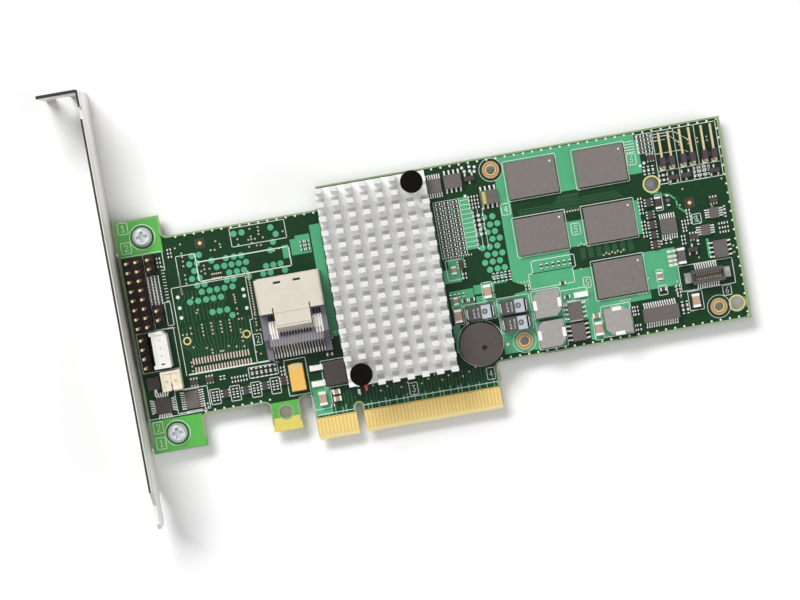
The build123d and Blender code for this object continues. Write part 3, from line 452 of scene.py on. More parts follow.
near_port = [
    (-18.7, 60.5), (-18.7, 59.5), (-18.8, 58.6), (-21.0, 60.4), (-21.0, 58.3), (-24.7, 58.2),
    (-24.7, 56.7), (-21.8, 57.5), (-21.0, 57.5), (-20.0, 57.5), (-21.0, 56.5), (-17.8, 57.5),
    (-21.9, 55.6), (-19.8, 55.6), (-18.7, 55.5), (-30.7, 58.7), (-29.7, 57.7), (-29.6, 56.9),
    (-31.3, 56.4), (-32.4, 56.5), (-40.4, 57.0), (-40.4, 56.0), (-40.4, 54.8), (-41.9, 58.7),
    (-40.3, 59.5), (-40.5, 53.5), (-40.5, 51.0), (-40.5, 49.8), (-40.5, 48.7), (-35.0, 52.7),
    (-35.0, 51.7), (-35.0, 50.5), (-33.6, 51.6), (-35.9, 51.3), (-12.2, 58.2), (-15.4, 53.4),
    (-14.0, 53.8), (-39.6, 44.6), (-38.8, 41.1), (-39.2, 40.3), (-28.4, 43.5), (-28.3, 42.8),
    (-28.3, 42.1), (-28.3, 41.3), (-28.2, 39.6), (-28.2, 38.2), (-27.3, 36.7), (-28.2, 36.7),
    (-41.6, 36.5), (-42.9, 35.0), (-44.0, 35.0), (-41.6, 35.0), (-41.7, 31.2), (-38.2, 30.4),
    (-36.8, 29.7), (-36.8, 28.8), (-34.6, 28.9), (-33.9, 28.9), (-32.2, 29.9), (-30.1, 29.4),
    (-28.0, 29.1), (-28.2, 33.8), (-28.2, 33.0), (-28.2, 31.7), (-28.1, 30.6), (-43.0, 27.2),
    (-43.0, 26.1), (-43.0, 24.8), (-23.7, 34.2), (-23.7, 35.0), (-23.7, 36.0), (-23.7, 37.2),
    (-23.9, 32.8), (-22.9, 32.8), (-23.9, 26.3), (-25.1, 27.0), (-2.9, 28.6), (-4.0, 27.2)]
near_port += [(-33.2 + 0.6 * i, y) for i in range(5) for y in (50.0, 48.8)]
near_port += [(-23.5, 49.0 - 0.75 * i) for i in range(17)]
near_memory = [(64.4 + 0.75 * i, 50.0) for i in range(6)]
near_memory += [(53.0 + 1.1 * i, 56.6) for i in range(8)]
near_memory += [(66.6 + 0.8 * i, 40.3 + 0.45 * (i % 2)) for i in range(7)]
near_memory += [(73.0 + 0.8 * i, 36.6 + 0.45 * (i % 2)) for i in range(8)]
near_memory += [(80.9 + 0.9 * i, 24.2) for i in range(3)]
near_memory += [(75.6 + 0.8 * i, 23.4) for i in range(4)]
near_memory += [(48.6 + 0.9 * i, 33.1) for i in range(4)]
near_memory += [(66.2, 33.9), (84.0, 28.2), (91.6, 26.0)]
near_headers = [(x, y) for x in (98.4, 100.9, 103.4, 106.0) for y in (62.6, 63.6)]
near_headers += [(95.8, 46.4), (94.6, 57.6), (97.2, 50.6), (108.2, 51.6), (104.4, 44.6),
                 (98.6, 31.4), (108.4, 33.0), (108.4, 31.2), (90.9, 24.6), (90.9, 23.6),
                 (91.2, 22.6), (91.9, 21.6)]
under_sink = [(0.9 + 1.9 * i, 10.6 + 0.9 * (i % 3)) for i in range(18)]
stitch_finish = plain_finish("bright_via", (0.70, 0.72, 0.64), (0.86, 0.88, 0.80), 0.6, 0.4,
                             depth=0.004)
stitch_places = [(x, y, 0, 0) for x, y in stitches]
stitch_vias = carried(levels(circle(0.3, 8), (0, 1), (0.05, 1)), stitch_places)
small = np.array(near_port + near_memory + near_headers + under_sink + rows.tolist())
small_places = np.column_stack([small, np.zeros((len(small), 2))])
vias = carried(levels(circle(0.26, 8), (0, 1), (0.045, 1)), small_places)
vias_back = carried(levels(circle(0.26, 8), (bottom_face - 0.045, 1), (bottom_face, 1)),
                    small_places)
left_dots = {
    59.8: (-25.5, -23.3, -15.3), 57.8: (-14.2,), 55.8: (-37.8, -35.8, -15.3),
    53.7: (-38.8, -36.7, -32.7, -28.7, -26.5, -24.5, -16.4),
    51.7: (-37.8, -31.6, -29.5, -27.5, -25.5, -23.5),
    49.65: (-38.8, -36.7, -28.5, -26.4, -24.4, -18.3, -16.3, -14.3),
    47.7: (-37.7, -35.7, -29.5, -27.6, -23.4, -19.4, -17.4, -13.4),
    45.75: (-36.8, -34.6, -32.6, -30.5, -28.3), 43.5: (-40.4, -38.2, -36.0, -34.0, -31.9),
    39.8: (-34.9, -32.9, -30.8), 38.05: (-29.7,),
}
right_dots = {
    52.3: (42.5, 44.8), 50.2: (41.6, 43.8, 45.8), 48.2: (40.6, 42.8, 44.8), 46.2: (43.8, 45.8),
    44.2: (40.7, 42.7, 44.8), 42.1: (41.7, 43.8, 45.8), 40.1: (40.7, 42.8, 44.8),
    38.0: (41.7, 43.8, 45.8), 35.9: (42.6, 44.8),
}
dot_places = [(x, y, 0, 0) for field in (left_dots, right_dots)
              for y, xs in field.items() for x in xs]
dots = carried(levels(circle(0.85, 18), (0, 1), (0.04, 1)), dot_places)
piece("vias", [(vias, via_finish), (vias_back, via_finish), (dots, dot_finish),
                        (stitch_vias, stitch_finish)])

# White print: ink screened over the lacquer round the connectors and chips.
# Boxes hold plain numbers that tell one connector from the next, and nothing else is worded.
# A printed line is a bar of ink two tenths wide and a few hundredths thick.
ink_height = 0.06
ink_line = 0.18
ink_finish = plain_finish("white_ink", (0.62, 0.70, 0.63), (0.80, 0.85, 0.80), 1.2, 0.6,
                          depth=0.004)


def boxed(left, bottom, right, top):
    """Closed route round a rectangle."""
    return [(left, bottom), (right, bottom), (right, top), (left, top), (left, bottom)]


glyphs = {
    "1": [[(0.3, 0.8), (0.55, 1), (0.55, 0)], [(0.25, 0), (0.85, 0)]],
    "2": [[(0.1, 0.85), (0.3, 1), (0.75, 1), (0.9, 0.8), (0.85, 0.55), (0.1, 0), (0.95, 0)]],
    "3": [[(0.1, 1), (0.9, 1), (0.5, 0.6), (0.9, 0.4), (0.8, 0.05), (0.3, 0), (0.1, 0.15)]],
    "4": [[(0.75, 0), (0.75, 1), (0.1, 0.3), (1, 0.3)]],
    "5": [[(0.9, 1), (0.2, 1), (0.15, 0.55), (0.7, 0.6), (0.9, 0.35), (0.7, 0), (0.1, 0.05)]],
    "6": [[(0.8, 1), (0.3, 0.75), (0.1, 0.3), (0.3, 0), (0.75, 0), (0.9, 0.3), (0.6, 0.55),
           (0.15, 0.4)]],
}


def marked(glyph, left, bottom, right, top):
    """A box with one number in it."""
    width, height = 0.42 * (right - left), 0.56 * (top - bottom)
    x, y = left + 0.29 * (right - left), bottom + 0.22 * (top - bottom)
    return [boxed(left, bottom, right, top)] + [
        [(x + u * width, y + v * height) for u, v in line] for line in glyphs[glyph]]


marks = [
    ("1", -56.3, 64.8, -53.6, 67.9), ("2", -56.3, 59.4, -53.6, 62.4),
    ("2", -56.4, 9.6, -53.8, 12.7), ("1", -56.4, 5.2, -53.8, 8.4),
    ("2", -25.1, 28.8, -23.0, 31.8), ("3", 14.4, 7.9, 16.7, 11.2),
    ("4", 36.0, 8.4, 38.2, 11.6), ("4", 47.5, 52.0, 49.9, 55.1), ("5", 65.5, 43.4, 67.9, 46.5),
    ("6", 83.6, 59.5, 86.0, 62.5), ("6", 103.6, 19.9, 105.9, 22.6), ("5", 66.3, 28.6, 68.3, 31.4),
    ("3", 98.4, 40.6, 100.9, 43.3),
]
print_routes = [route for mark in marks for route in marked(*mark)]
memory_centres = [(57.1, 60.85), (76.1, 60.8), (57.1, 45.3), (76.1, 45.25), (76.3, 29.95)]
print_routes += [boxed(x - 7.3, y - 5.5, x + 7.3, y + 5.5) for x, y in memory_centres]
print_routes += [
    [(-42.2, 46.0), (-42.2, 56.4), (-37.0, 56.4)], boxed(-26.5, 56.3, -11.4, 61.4),
    [(-44.9, 23.9), (-44.9, 48.1), (-24.4, 48.1), (-24.4, 36.0), (-25.3, 36.0), (-25.3, 23.9)],
    [(-56.7, 58.6), (-45.6, 58.6), (-45.6, 53.4)], [(-51.0, 58.6), (-51.0, 37.4)],
    [(-56.7, 37.4), (-45.8, 37.4)], boxed(-53.3, 26.4, -46.2, 37.6),
    boxed(-56.5, 26.4, -53.3, 37.2), boxed(-45.8, 38.2, -47.4, 44.6),
    boxed(-44.4, 23.9, -21.6, 24.1), [(-21.6, 24.1), (-19.6, 23.2)],
    boxed(-18.2, 13.4, -12.3, 23.3), [(-12.3, 13.4), (-12.3, 8.4), (-7.0, 8.4), (-7.0, 13.8)],
    [(-57.0, 13.6), (-41.0, 13.6)], boxed(-28.1, 20.1, -20.1, 23.0),
    boxed(-49.0, 14.0, -40.0, 20.3), boxed(-39.5, 14.8, -36.9, 18.9),
    boxed(-34.0, 14.8, -31.3, 18.9), boxed(-28.2, 14.8, -25.6, 18.9),
    boxed(-22.8, 14.8, -20.2, 19.2), boxed(92.5, 22.9, 107.4, 29.9), boxed(93.9, 17.3, 97.8, 22.6),
    [(-11.4, 6.9), (-1.6, 6.9)], [(1.4, 7.5), (38.4, 7.5)],
    boxed(91.4, 56.4, 108.9, 67.4), [(97.2, 67.4), (97.2, 52.5)], [(102.9, 67.4), (102.9, 56.4)],
    [(91.4, 56.4), (91.4, 52.9), (93.9, 52.9), (93.9, 56.4)], [(93.9, 52.5), (108.9, 52.5)],
    [(108.9, 56.4), (108.9, 52.5)], [(101.0, 56.4), (101.0, 52.5)], [(105.5, 56.4), (105.5, 52.5)],
    boxed(86.9, 62.0, 91.0, 67.3), boxed(86.3, 26.6, 88.1, 30.0), boxed(86.2, 23.0, 88.6, 25.6),
    boxed(30.0, 36.9, 34.0, 42.4), boxed(29.9, 24.6, 32.4, 29.8), boxed(32.9, 24.7, 41.2, 29.6),
    boxed(41.9, 24.7, 50.9, 29.8), boxed(41.9, 20.3, 50.9, 24.7), boxed(38.6, 29.9, 41.5, 34.8),
    boxed(51.5, 21.9, 59.4, 30.1), boxed(51.5, 13.9, 59.4, 21.9), boxed(69.6, 14.2, 77.8, 22.7),
    boxed(59.6, 25.3, 66.9, 28.9), boxed(51.8, 30.7, 64.0, 34.9), boxed(89.3, 45.9, 91.2, 50.2),
    boxed(53.0, 34.9, 64.9, 38.3), boxed(-8.4, 13.9, -1.4, 21.4), boxed(67.0, 13.9, 69.4, 20.4),
    [(90.6, 66.6), (97.3, 66.6), (101.0, 63.6)], [(90.6, 65.8), (95.8, 65.8), (98.4, 63.2)],
    [(90.6, 64.8), (94.6, 64.8)], [(90.6, 61.2), (99.0, 61.2), (100.4, 60.4)],
]
label_lines = strokes([[(-36.9, 48.6), (-36.9, 56.2)], [(-36.9, 53.9), (-11.4, 53.9)],
                       [(-36.9, 48.6), (-11.4, 48.6)], [(-11.4, 48.6), (-11.4, 53.9)],
                       [(-42.2, 46.0), (-42.2, 51.0)]], 0.3, 0, ink_height)
cell_x = [32.95 + side * 1.175 for side in (-3, -1, 1, 3)]
cell_y = [50.95 + (row - 6) * 1.28 for row in range(13)]
cells = [[(x, cell_y[0]), (x, cell_y[-1])] for x in cell_x]
cells += [[(cell_x[0], y), (cell_x[-1], y)] for y in cell_y]
cells += [[(39.5, 44.3), (39.5, 55.0)], [(42.4, 44.3), (42.4, 55.0)], [(41.0, 44.3), (41.0, 55.0)]]
cells += [[(87.5, 62.1), (87.5, 67.2)]]
cells += [[(86.9, 62.0 + 1.05 * i), (91.0, 62.0 + 1.05 * i)] for i in range(6)]
cells += [[(-50.2, 44.3 + 0.8 * i), (-48.2, 44.3 + 0.8 * i)] for i in range(11)]
cells += [[(101.0, 52.5 + 1.3 * i), (105.5, 52.5 + 1.3 * i)] for i in range(4)]
cells += [[(102.5, 52.5), (102.5, 56.4)], [(104.0, 52.5), (104.0, 56.4)]]
cells += [[(36.5, 45.2 + 1.28 * i), (39.3, 45.2 + 1.28 * i)] for i in range(11)]
tick_x = [29.6 + 0.7 * (i % 9) + 2.2 * (i // 9) for i in range(18)]
pin_ticks = [[(x, 42.9), (x, 43.2)] for x in tick_x]
pin_ticks += [[(39.8, 44.0 + 1.1 * i), (39.8, 44.5 + 1.1 * i)] for i in range(13)]
pin_ticks += [[(-46.6, 44.9 + 0.85 * i), (-45.9, 44.9 + 0.85 * i)] for i in range(12)]
pin_ticks += [[(83.6 + 0.9 * (i % 3), 62.9 + 0.75 * (i // 3)),
               (84.2 + 0.9 * (i % 3), 62.9 + 0.75 * (i // 3))] for i in range(15)]
ink = merged(strokes(print_routes, ink_line, 0, ink_height), label_lines,
             strokes(cells, 0.13, 0, ink_height - 0.01),
             strokes(pin_ticks, 0.2, 0, ink_height))
screw_places = [(-50.1, 63.2), (-50.15, 8.9)]
hole_places = [(46.45, 64.85), (47.7, 17.2), (101.8, 17.2)]
ring_prints = merged(hoops(3.4, 3.55, 0, ink_height, screw_places),
                     hoops(6.25, 6.42, 0, ink_height, [(35.7, 18.65)], 48))
hole_prints = hoops(3.1, 3.22, 0, ink_height, hole_places, 48)
pad_dots = carried(levels(circle(0.5, 12), (0, 1), (ink_height, 1)),
                   [(-43.5, 45.4, 0, 0), (-43.5, 42.4, 0, 0), (-43.5, 39.7, 0, 0),
                    (-25.6, 44.5, 0, 0), (-25.6, 42.7, 0, 0), (-25.5, 39.3, 0, 0),
                    (-6.4, 12.8, 0, 0), (-4.9, 12.8, 0, 0)])
piece("white_print", [(merged(ink, ring_prints, hole_prints, pad_dots), ink_finish)])

# Bare pads: tinned copper where parts can be soldered, in rows under the card's empty places.
# The big empty place takes a second port: two rows of twenty pads.
# Small gold dots on dark squares are targets for the machine that places the parts.
tin_finish = plain_finish("tinned_pad", (0.66, 0.62, 0.58), (0.80, 0.78, 0.75), 0.5, 0.34,
                          metallic=0.3, depth=0.006)
port_pad_finish = plain_finish("pink_tinned_pad", (0.62, 0.44, 0.38), (0.74, 0.60, 0.54), 0.5,
                               0.36, metallic=0.3, depth=0.006)
gold_finish = plain_finish("gold_plating", (0.76, 0.54, 0.16), (0.88, 0.66, 0.25), 1.6, 0.3,
                           metallic=0.12, depth=0.004)
hook_finish = plain_finish("yellow_laminate", (0.62, 0.53, 0.09), (0.72, 0.62, 0.13), 3.0, 0.4,
                           depth=0.006)
dark_finish = plain_finish("bare_lacquer", (0.030, 0.022, 0.015), (0.040, 0.030, 0.020), 1.0, 0.4,
                           depth=0.004)
pad_height = 0.05
port_pads = [(-42.4 + 0.8 * i, 27.3, 0, 0) for i in range(20)]
port_pads += [(-42.1 + 0.8 * i, 24.8, 0, 0) for i in range(20)]
empty_pads = carried(levels(rectangle(0.36, 1.7), (0, 1), (pad_height, 1)), port_pads)
round_pads = [(38.8, 66.7), (39.3, 65.6), (40.8, 66.7), (40.8, 65.5), (42.2, 66.4), (42.0, 65.2),
              (38.4, 59.0), (88.0, 59.4), (86.9, 58.8), (52.4, 57.2), (43.0, 17.0)]
pads = merged(carried(levels(circle(0.42, 12), (0, 1), (pad_height, 1)),
                      [(x, y, 0, 0) for x, y in round_pads]),
              carried(levels(rectangle(1.3, 0.75), (0, 1), (pad_height, 1)),
                      [(x, y, 0, 0) for x in (90.8, 92.0) for y in (30.6, 31.8, 33.0, 34.4)]
                      + [(0.7, 11.4, 0, 90), (0.7, 13.3, 0, 90), (-54.0, 21.2, 0, 90)]),
              carried(levels(rectangle(0.35, 1.3), (0, 1), (pad_height, 1)),
                      [(-52.55 + 0.65 * (i - 2.5), 16.95 + side * 2.95, 0, 8 * (i - 2.5) * -side)
                       for i in range(6) for side in (-1, 1)]
                      + [(-52.55 + side * 2.95, 16.95 + 0.65 * (i - 2.5), 0,
                          90 + 8 * (i - 2.5) * side) for i in range(6) for side in (-1, 1)]),
              plates([(-46.6, 13.7, -42.3, 14.3), (-46.6, 20.0, -42.3, 20.5),
                      (60.9, 20.0, 64.5, 20.4), (60.9, 25.4, 64.5, 25.8)], 0, pad_height))
target_places = [(-35.0, 58.9, 0, 0), (98.5, 46.6, 0, 0)]
targets = carried(levels(rectangle(2.7, 2.7), (0, 1), (pad_height, 1)), target_places)
target_dots = carried(levels(circle(0.5, 16), (0, 1), (0.06, 1)), target_places)
screw_lands = hoops(1.7, 3.1, 0, 0.05, screw_places)
hole_lands = hoops(2.35, 3.15, 0, 0.045, [(46.45, 64.85), (101.8, 17.2)])
rims = merged(hoops(2.02, 2.35, 0, 0.05, [(89.1, 53.4)]),
              hoops(1.92, 2.2, 0, 0.05, [(106.8, 17.3)]),
              hoops(0.77, 1.05, 0, 0.05, [(-43.1, 33.2), (-26.8, 32.3)]))
piece("bare_pads", [(pads, tin_finish), (empty_pads, port_pad_finish),
                            (merged(target_dots, rims), gold_finish),
                            (targets, dark_finish),
                            (merged(screw_lands, hole_lands), board_finish)])
patch("hook_band", 1, (-24.1, 4.2, -16.0, 8.0), 0.0, 0.04, hook_finish)
patch("hook_band_back", -1, (-24.1, 4.2, -16.0, 8.0), 0.0, 0.04, hook_finish)

# Edge fingers: gold over nickel, in a row on each face of the tongue.
# The laminate between them is bare and yellow, and bevelled at the tip.
# The plated holes have copper rings under thin tin, with a brown groove and a gold lip.
wear("edge_contacts", gold_finish)
finger_floor = plain_finish("laminate_between_fingers", (0.60, 0.42, 0.11), (0.68, 0.49, 0.16),
                            1.0, 0.5, depth=0.006)
tongue = [(-12.1, bevel_end, -0.98, 6.2), (0.98, bevel_end, 38.9, 6.2)]
floor_plates = merged(plates(tongue, 0, 0.02), plates(tongue, bottom_face - 0.02, bottom_face))
piece("finger_laminate", [(floor_plates, finger_floor)])
copper_finish = plain_finish("tinned_copper", (0.44, 0.25, 0.13), (0.56, 0.35, 0.20), 0.8, 0.3,
                             metallic=0.3, depth=0.004)
groove_finish = plain_finish("browned_copper", (0.26, 0.13, 0.045), (0.36, 0.20, 0.08), 0.8, 0.4,
                             metallic=0.2, depth=0.004)


def on_both_faces(radius_in, radius_out, rise):
    """The same flat ring round every plated hole, on the card's front and back."""
    return merged(*[hoops(radius_in, radius_out, low, low + rise, hole_places, 40)
                    for low in (0, bottom_face - rise)])


hole_rings = piece("hole_rings", [(on_both_faces(1.8, 2.35, 0.06), copper_finish),
                                         (on_both_faces(1.5, 1.8, 0.055), groove_finish),
                                         (on_both_faces(1.25, 1.5, 0.07), gold_finish)])
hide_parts("plated_rings")

# Bare rim of the card: the lacquer stops short of every routed edge and hole.
# The pale laminate shows there as a thin green line on both faces, but not at the fingers.
# The rim is the card's own face, inset by a fixed width, with only the border kept.
rim_finish = plain_finish("bare_laminate_rim", (0.20, 0.30, 0.13), (0.30, 0.41, 0.20), 2.0, 0.5,
                          depth=0.006)
above_fingers = (-60.0, 6.3, 125.0, 70.0)
patch("rim_front", 1, above_fingers, 0.02, 0.045, rim_finish, 0.46)
patch("rim_back", -1, above_fingers, 0.02, 0.045, rim_finish, 0.46)
patch("right_rim", 1, (109.0, 12.0, 125.0, 70.0), 0.02, 0.055, rim_finish, 0.8)

# Slot bracket: folded from zinc-plated sheet steel, drawn bright along its length.
# The two pan-head screws that hold the card are zinc plated too, with a cross recess.
# Painted shade darkens the outer half of the sheet's top cut edge, and a painted highlight makes
# its face brightest half way up.
bracket_finish = Finish("zinc_plated_sheet", Metallic=0.22, Specular_IOR_Level=0.15)
drawn = bracket_finish.noise(0.5, 2.0, (1.0, 0.03, 1.0))
stain = bracket_finish.noise(14.0, 2.0)
sheet_height = bracket_finish.along(2)
half_way_up = 7.6
edge_top = 14.46
edge_middle = -58.5
# Painted highlight: the face is brightest half way up and darker towards its top and bottom.
painted_height_light = (sheet_height - half_way_up).size() * -0.2 + 1.0
sheet_face = bracket_finish.blend((0.66, 0.65, 0.61), (0.98, 0.97, 0.94),
                                  drawn * 0.3 + stain * 0.3 + painted_height_light * 0.5)
# Painted shade: the outer half of the sheet's top cut edge is near black.
painted_edge_shade = sheet_height.above(edge_top) * (1 - bracket_finish.along(0).above(edge_middle))
bracket_finish.set(Base_Color=bracket_finish.blend(sheet_face, (0.05, 0.04, 0.035), painted_edge_shade),
                   Roughness=drawn * 0.14 + 0.34)
bracket_finish.relief(drawn, 0.004)
wear("bracket", bracket_finish)
zinc_finish = plain_finish("zinc_plated_screw", (0.50, 0.54, 0.55), (0.68, 0.71, 0.75), 1.4, 0.3,
                           metallic=0.3, depth=0.004)


def screw_head(x, y, radius, height, rings=26, sides=72):
    """Height over a disc: flat, then falling as a square to the rim, less a sloping cross."""
    across = np.linspace(0, radius, rings)[1:, None]
    angle = np.arange(sides)[None] * 2 * np.pi / sides
    px, py = across * np.cos(angle), across * np.sin(angle)
    dome = height * (1 - 0.7 * np.clip((across / radius - 0.66) / 0.34, 0, 1) ** 2) + 0 * angle
    arm = np.minimum(np.maximum(np.abs(px) / 1.25, np.abs(py) / 0.36),
                     np.maximum(np.abs(py) / 1.25, np.abs(px) / 0.36))
    recess = np.clip((1.25 - arm) * 2.2, 0, 1) * 0.8 * (across < 1.7)
    top = np.stack([px, py, dome - recess], -1)
    skirt = np.stack([px[-1], py[-1], np.zeros(sides)], -1)[None]
    grid = np.concatenate([top, skirt]) + [x, y, 0]
    index = np.arange(rings * sides).reshape(rings, sides) + 1
    after = np.roll(index, -1, 1)
    quads = np.stack([index[:-1], index[1:], after[1:], after[:-1]], -1).reshape(-1, 4).tolist()
    fan = [[0, a, b] for a, b in zip(index[0].tolist(), after[0].tolist())]
    centre = np.array([[x, y, height - 0.8]])
    return np.concatenate([centre, grid.reshape(-1, 3)]), fan + quads + [index[-1, ::-1].tolist()]


heads = merged(*[screw_head(x, y, 2.75, 1.9) for x, y in screw_places])
shanks = carried(levels(circle(1.5, 36), (-3.5, 0.86), (-3.3, 1), (0.0, 1)),
                 [(x, y, 0, 0) for x, y in screw_places])
screws = piece("screws", [(merged(heads, shanks), zinc_finish)], smooth=True)
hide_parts("bracket_screws")

# Heat sink: drawn aluminium, sawn across into pins, deburred and left bare.
# The saw leaves fine lines along the cuts, and each pin's edges are slightly broken.
# Painted shade darkens the metal just behind each pin, and a painted highlight brightens a line
# between the rows.


def eased(node, name, finish, width, segments=2):
    """The node's own shape with its sharp edges broken by a bevel of that width."""
    copy = nodes[node].data.copy()
    copy.name = name
    work = bmesh.new()
    work.from_mesh(copy)
    bmesh.ops.remove_doubles(work, verts=work.verts, dist=0.001 * MM)
    bmesh.ops.dissolve_limit(work, angle_limit=0.02, verts=work.verts, edges=work.edges)
    sharp = [edge for edge in work.edges
             if len(edge.link_faces) == 2 and edge.calc_face_angle(0) > 0.5]
    bmesh.ops.bevel(work, geom=sharp, offset=width * MM, segments=segments, profile=0.5,
                    affect="EDGES", clamp_overlap=True)
    work.to_mesh(copy)
    work.free()
    copy.materials.clear()
    copy.materials.append(finish.material)
    made = bpy.data.objects.new(name, copy)
    bpy.context.scene.collection.objects.link(made)
    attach(made, "root")
    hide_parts(node)
    return made


sink_finish = Finish("bare_aluminium", Metallic=0.08)
saw = sink_finish.noise(0.28, 2.0, (0.08, 1.0, 1.0))
drawn_lines = sink_finish.noise(0.3, 2.0, (1.0, 0.05, 1.0))
sink_face = sink_finish.blend((0.92, 0.92, 0.91), (0.99, 0.985, 0.975),
                              saw * 0.5 + drawn_lines * 0.5)
sink_pitch_x, sink_pitch_y = 4.0, 3.8
pin_x = sink_finish.along(0).beside(-0.65, sink_pitch_x)
pin_y = sink_finish.along(1).beside(14.03, sink_pitch_y)
# Painted shade: a darker strip on the channel floor just behind each pin.
shade_behind_pin = ((pin_y - 1.12).size() * -1).above(-0.5) * (pin_x.size() * -1).above(-1.05)
shaded_face = sink_finish.blend(sink_face, (0.52, 0.52, 0.51), shade_behind_pin * 0.8)
# Painted highlight: a thin bright line beside each pin, along the channels.
highlight_streak = ((pin_x - 1.75).size() * -1).above(-0.12)
shaded_and_highlighted_face = sink_finish.blend(shaded_face, (1.0, 1.0, 0.99), highlight_streak * 0.9)
# The tips are a darker copy of the same metal than the sides and floors: painted shade on the faces
# the lamps light most.
tip_shade = sink_finish.along(2).above(11.8)
sink_finish.set(Base_Color=sink_finish.blend(shaded_and_highlighted_face, (0.74, 0.735, 0.725), tip_shade),
                Roughness=saw * 0.2 + 0.36)
sink_finish.relief(saw + drawn_lines, 0.02)
eased("heat_sink", "pin_fin_sink", sink_finish, 0.1)

# Controller under the sink: a green laminate package with its bare die and a soft pad.
# The package sits on solder balls that show only from the side.
# Its laminate edge is cut clean, and the pad is a grey silicone.
package_finish = plain_finish("package_laminate", (0.02, 0.11, 0.06), (0.03, 0.14, 0.08), 2.0, 0.4)
die_finish = plain_finish("polished_die", (0.20, 0.21, 0.23), (0.26, 0.27, 0.29), 4.0, 0.16,
                          metallic=0.6, depth=0.001)
silicone_finish = plain_finish("silicone_pad", (0.42, 0.42, 0.43), (0.5, 0.5, 0.5), 1.0, 0.7)
solder_finish = plain_finish("solder_ball", (0.60, 0.60, 0.60), (0.72, 0.72, 0.71), 0.4, 0.32,
                             metallic=0.4, depth=0.004)
wear("controller_package", package_finish)
wear("controller_die", die_finish)
wear("thermal_pad", silicone_finish)
ball = levels(circle(0.24, 8), (0.0, 0.7), (0.08, 1), (0.22, 1), (0.3, 0.7))
edge = np.arange(-14.4, 14.5, 1.2)
ball_rim = [(13.35 + a, 40.63 + b, 0, 0) for a in edge for b in (-14.4, 14.4)]
ball_rim += [(13.35 + b, 40.63 + a, 0, 0) for a in edge[1:-1] for b in (-14.4, 14.4)]
memory_balls = [(x + 0.8 * a, y + 0.8 * b, 0, 0) for x, y in memory_centres
                for a in range(-7, 8) for b in (-5, -4, -3, 3, 4, 5)]
piece("solder_balls", [(carried(ball, ball_rim + memory_balls), solder_finish)])

# Push pins: moulded black nylon, each pressed through the sink and the card.
# The head is a flat disc with a thin ring of painted highlight near its rim.
# A coil of spring wire under the head holds the sink down.
nylon_finish = plain_finish("black_nylon", (0.003, 0.002, 0.002), (0.006, 0.004, 0.004), 1.5, 0.45,
                            depth=0.004, gloss=0.06)
wire_finish = plain_finish("spring_wire", (0.45, 0.45, 0.46), (0.6, 0.6, 0.6), 0.6, 0.3,
                           metallic=0.9, depth=0.002)
wear("push_pins", nylon_finish)


def spring(x, y, low, high, radius, wire, turns, around=20, section=8):
    """A round wire's circle carried along a helix that climbs evenly from low to high."""
    along = np.linspace(0, turns * 2 * np.pi, turns * around + 1)[:, None]
    angle = np.arange(section)[None] * 2 * np.pi / section
    reach = radius + wire * np.cos(angle)
    height = low + wire + (high - low - 2 * wire) * along / along[-1] + wire * np.sin(angle)
    grid = np.stack([x + reach * np.cos(along), y + reach * np.sin(along), height], -1)
    index = np.arange(grid[..., 0].size).reshape(grid.shape[:2])
    after = np.roll(index, -1, 1)
    quads = np.stack([index[:-1], after[:-1], after[1:], index[1:]], -1).reshape(-1, 4).tolist()
    ends = [index[0].tolist(), index[-1, ::-1].tolist()]
    return grid.reshape(-1, 3), [quad[::-1] for quad in quads] + ends


push_places = [(24.4, 65.5), (2.3, 17.0)]
coils = merged(*[spring(x, y, 4.5, 11.7, 2.15, 0.24, 5) for x, y in push_places])
# Painted highlight: a paler ring on each head near its rim.
painted_head_rim_highlights = hoops(2.45, 2.62, 13.1, 13.19, push_places, 40)
rim_highlight_finish = plain_finish("painted_rim_highlight", (0.03, 0.027, 0.025), (0.05, 0.045, 0.042), 1.0, 0.4,
                         gloss=0.3)
piece("push_pin_rim_highlights", [(painted_head_rim_highlights, rim_highlight_finish)])
springs = piece("coil_springs", [(coils, wire_finish)], smooth=True)
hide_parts("push_pin_springs")

# Memory chips: flat epoxy packages with a satin, faintly brown face.
# Each has a small pale dot at the corner of its first ball.
# The face is bare, as the part is unmarked.
memory_finish = plain_finish("memory_epoxy", (0.166, 0.146, 0.137), (0.210, 0.186, 0.175), 1.2,
                             0.55, depth=0.012, gloss=0.3)
for number in range(1, 6):
    eased(f"memory_chip_{number}", f"memory_{number}", memory_finish, 0.06)
corner_dots = carried(levels(circle(0.28, 14), (1.19, 1), (1.215, 1)),
                      [(x + 5.5, y + 3.7, 0, 0) for x, y in memory_centres])
piece("first_ball_dots", [(corner_dots, ink_finish)])

# Moulded packages: black epoxy with drafted sides, and tinned leads bent like gull wings.
# Every lead leaves the side half way up, falls in a soft S and ends in a flat foot.
# A lead is a flat section carried along that S.
epoxy_finish = plain_finish("black_epoxy", (0.115, 0.100, 0.096), (0.145, 0.131, 0.125), 0.9, 0.5,
                            depth=0.01, gloss=0.3)
dark_epoxy_finish = plain_finish("dark_epoxy", (0.050, 0.040, 0.038), (0.072, 0.060, 0.055), 0.9,
                                 0.5, depth=0.01, gloss=0.3)
lead_finish = plain_finish("tinned_lead", (0.76, 0.75, 0.72), (0.94, 0.93, 0.90), 0.5, 0.3,
                           metallic=0.25, depth=0.004)
for node in ("logic_chips", "power_transistors", "driver_chips", "power_controller", "buffer_chip",
             "sensor_chips"):
    eased(node, node + "_eased", epoxy_finish, 0.08)
for node in ("switch_chip", "small_transistors", "leadless_chip", "power_regulator"):
    eased(node, node + "_eased", dark_epoxy_finish, 0.08)
for node in ("port_tails", "inductor_terminals", "capacitor_terminals", "ceramic_terminals",
             "diode_ends"):
    eased(node, node + "_eased", lead_finish, 0.03, 1)
tab_finish = plain_finish("dulled_tab", (0.05, 0.045, 0.045), (0.62, 0.60, 0.58), 1.3, 0.3,
                          metallic=0.3, depth=0.01)
eased("stack_tabs", "stack_tabs_eased", tab_finish, 0.2)


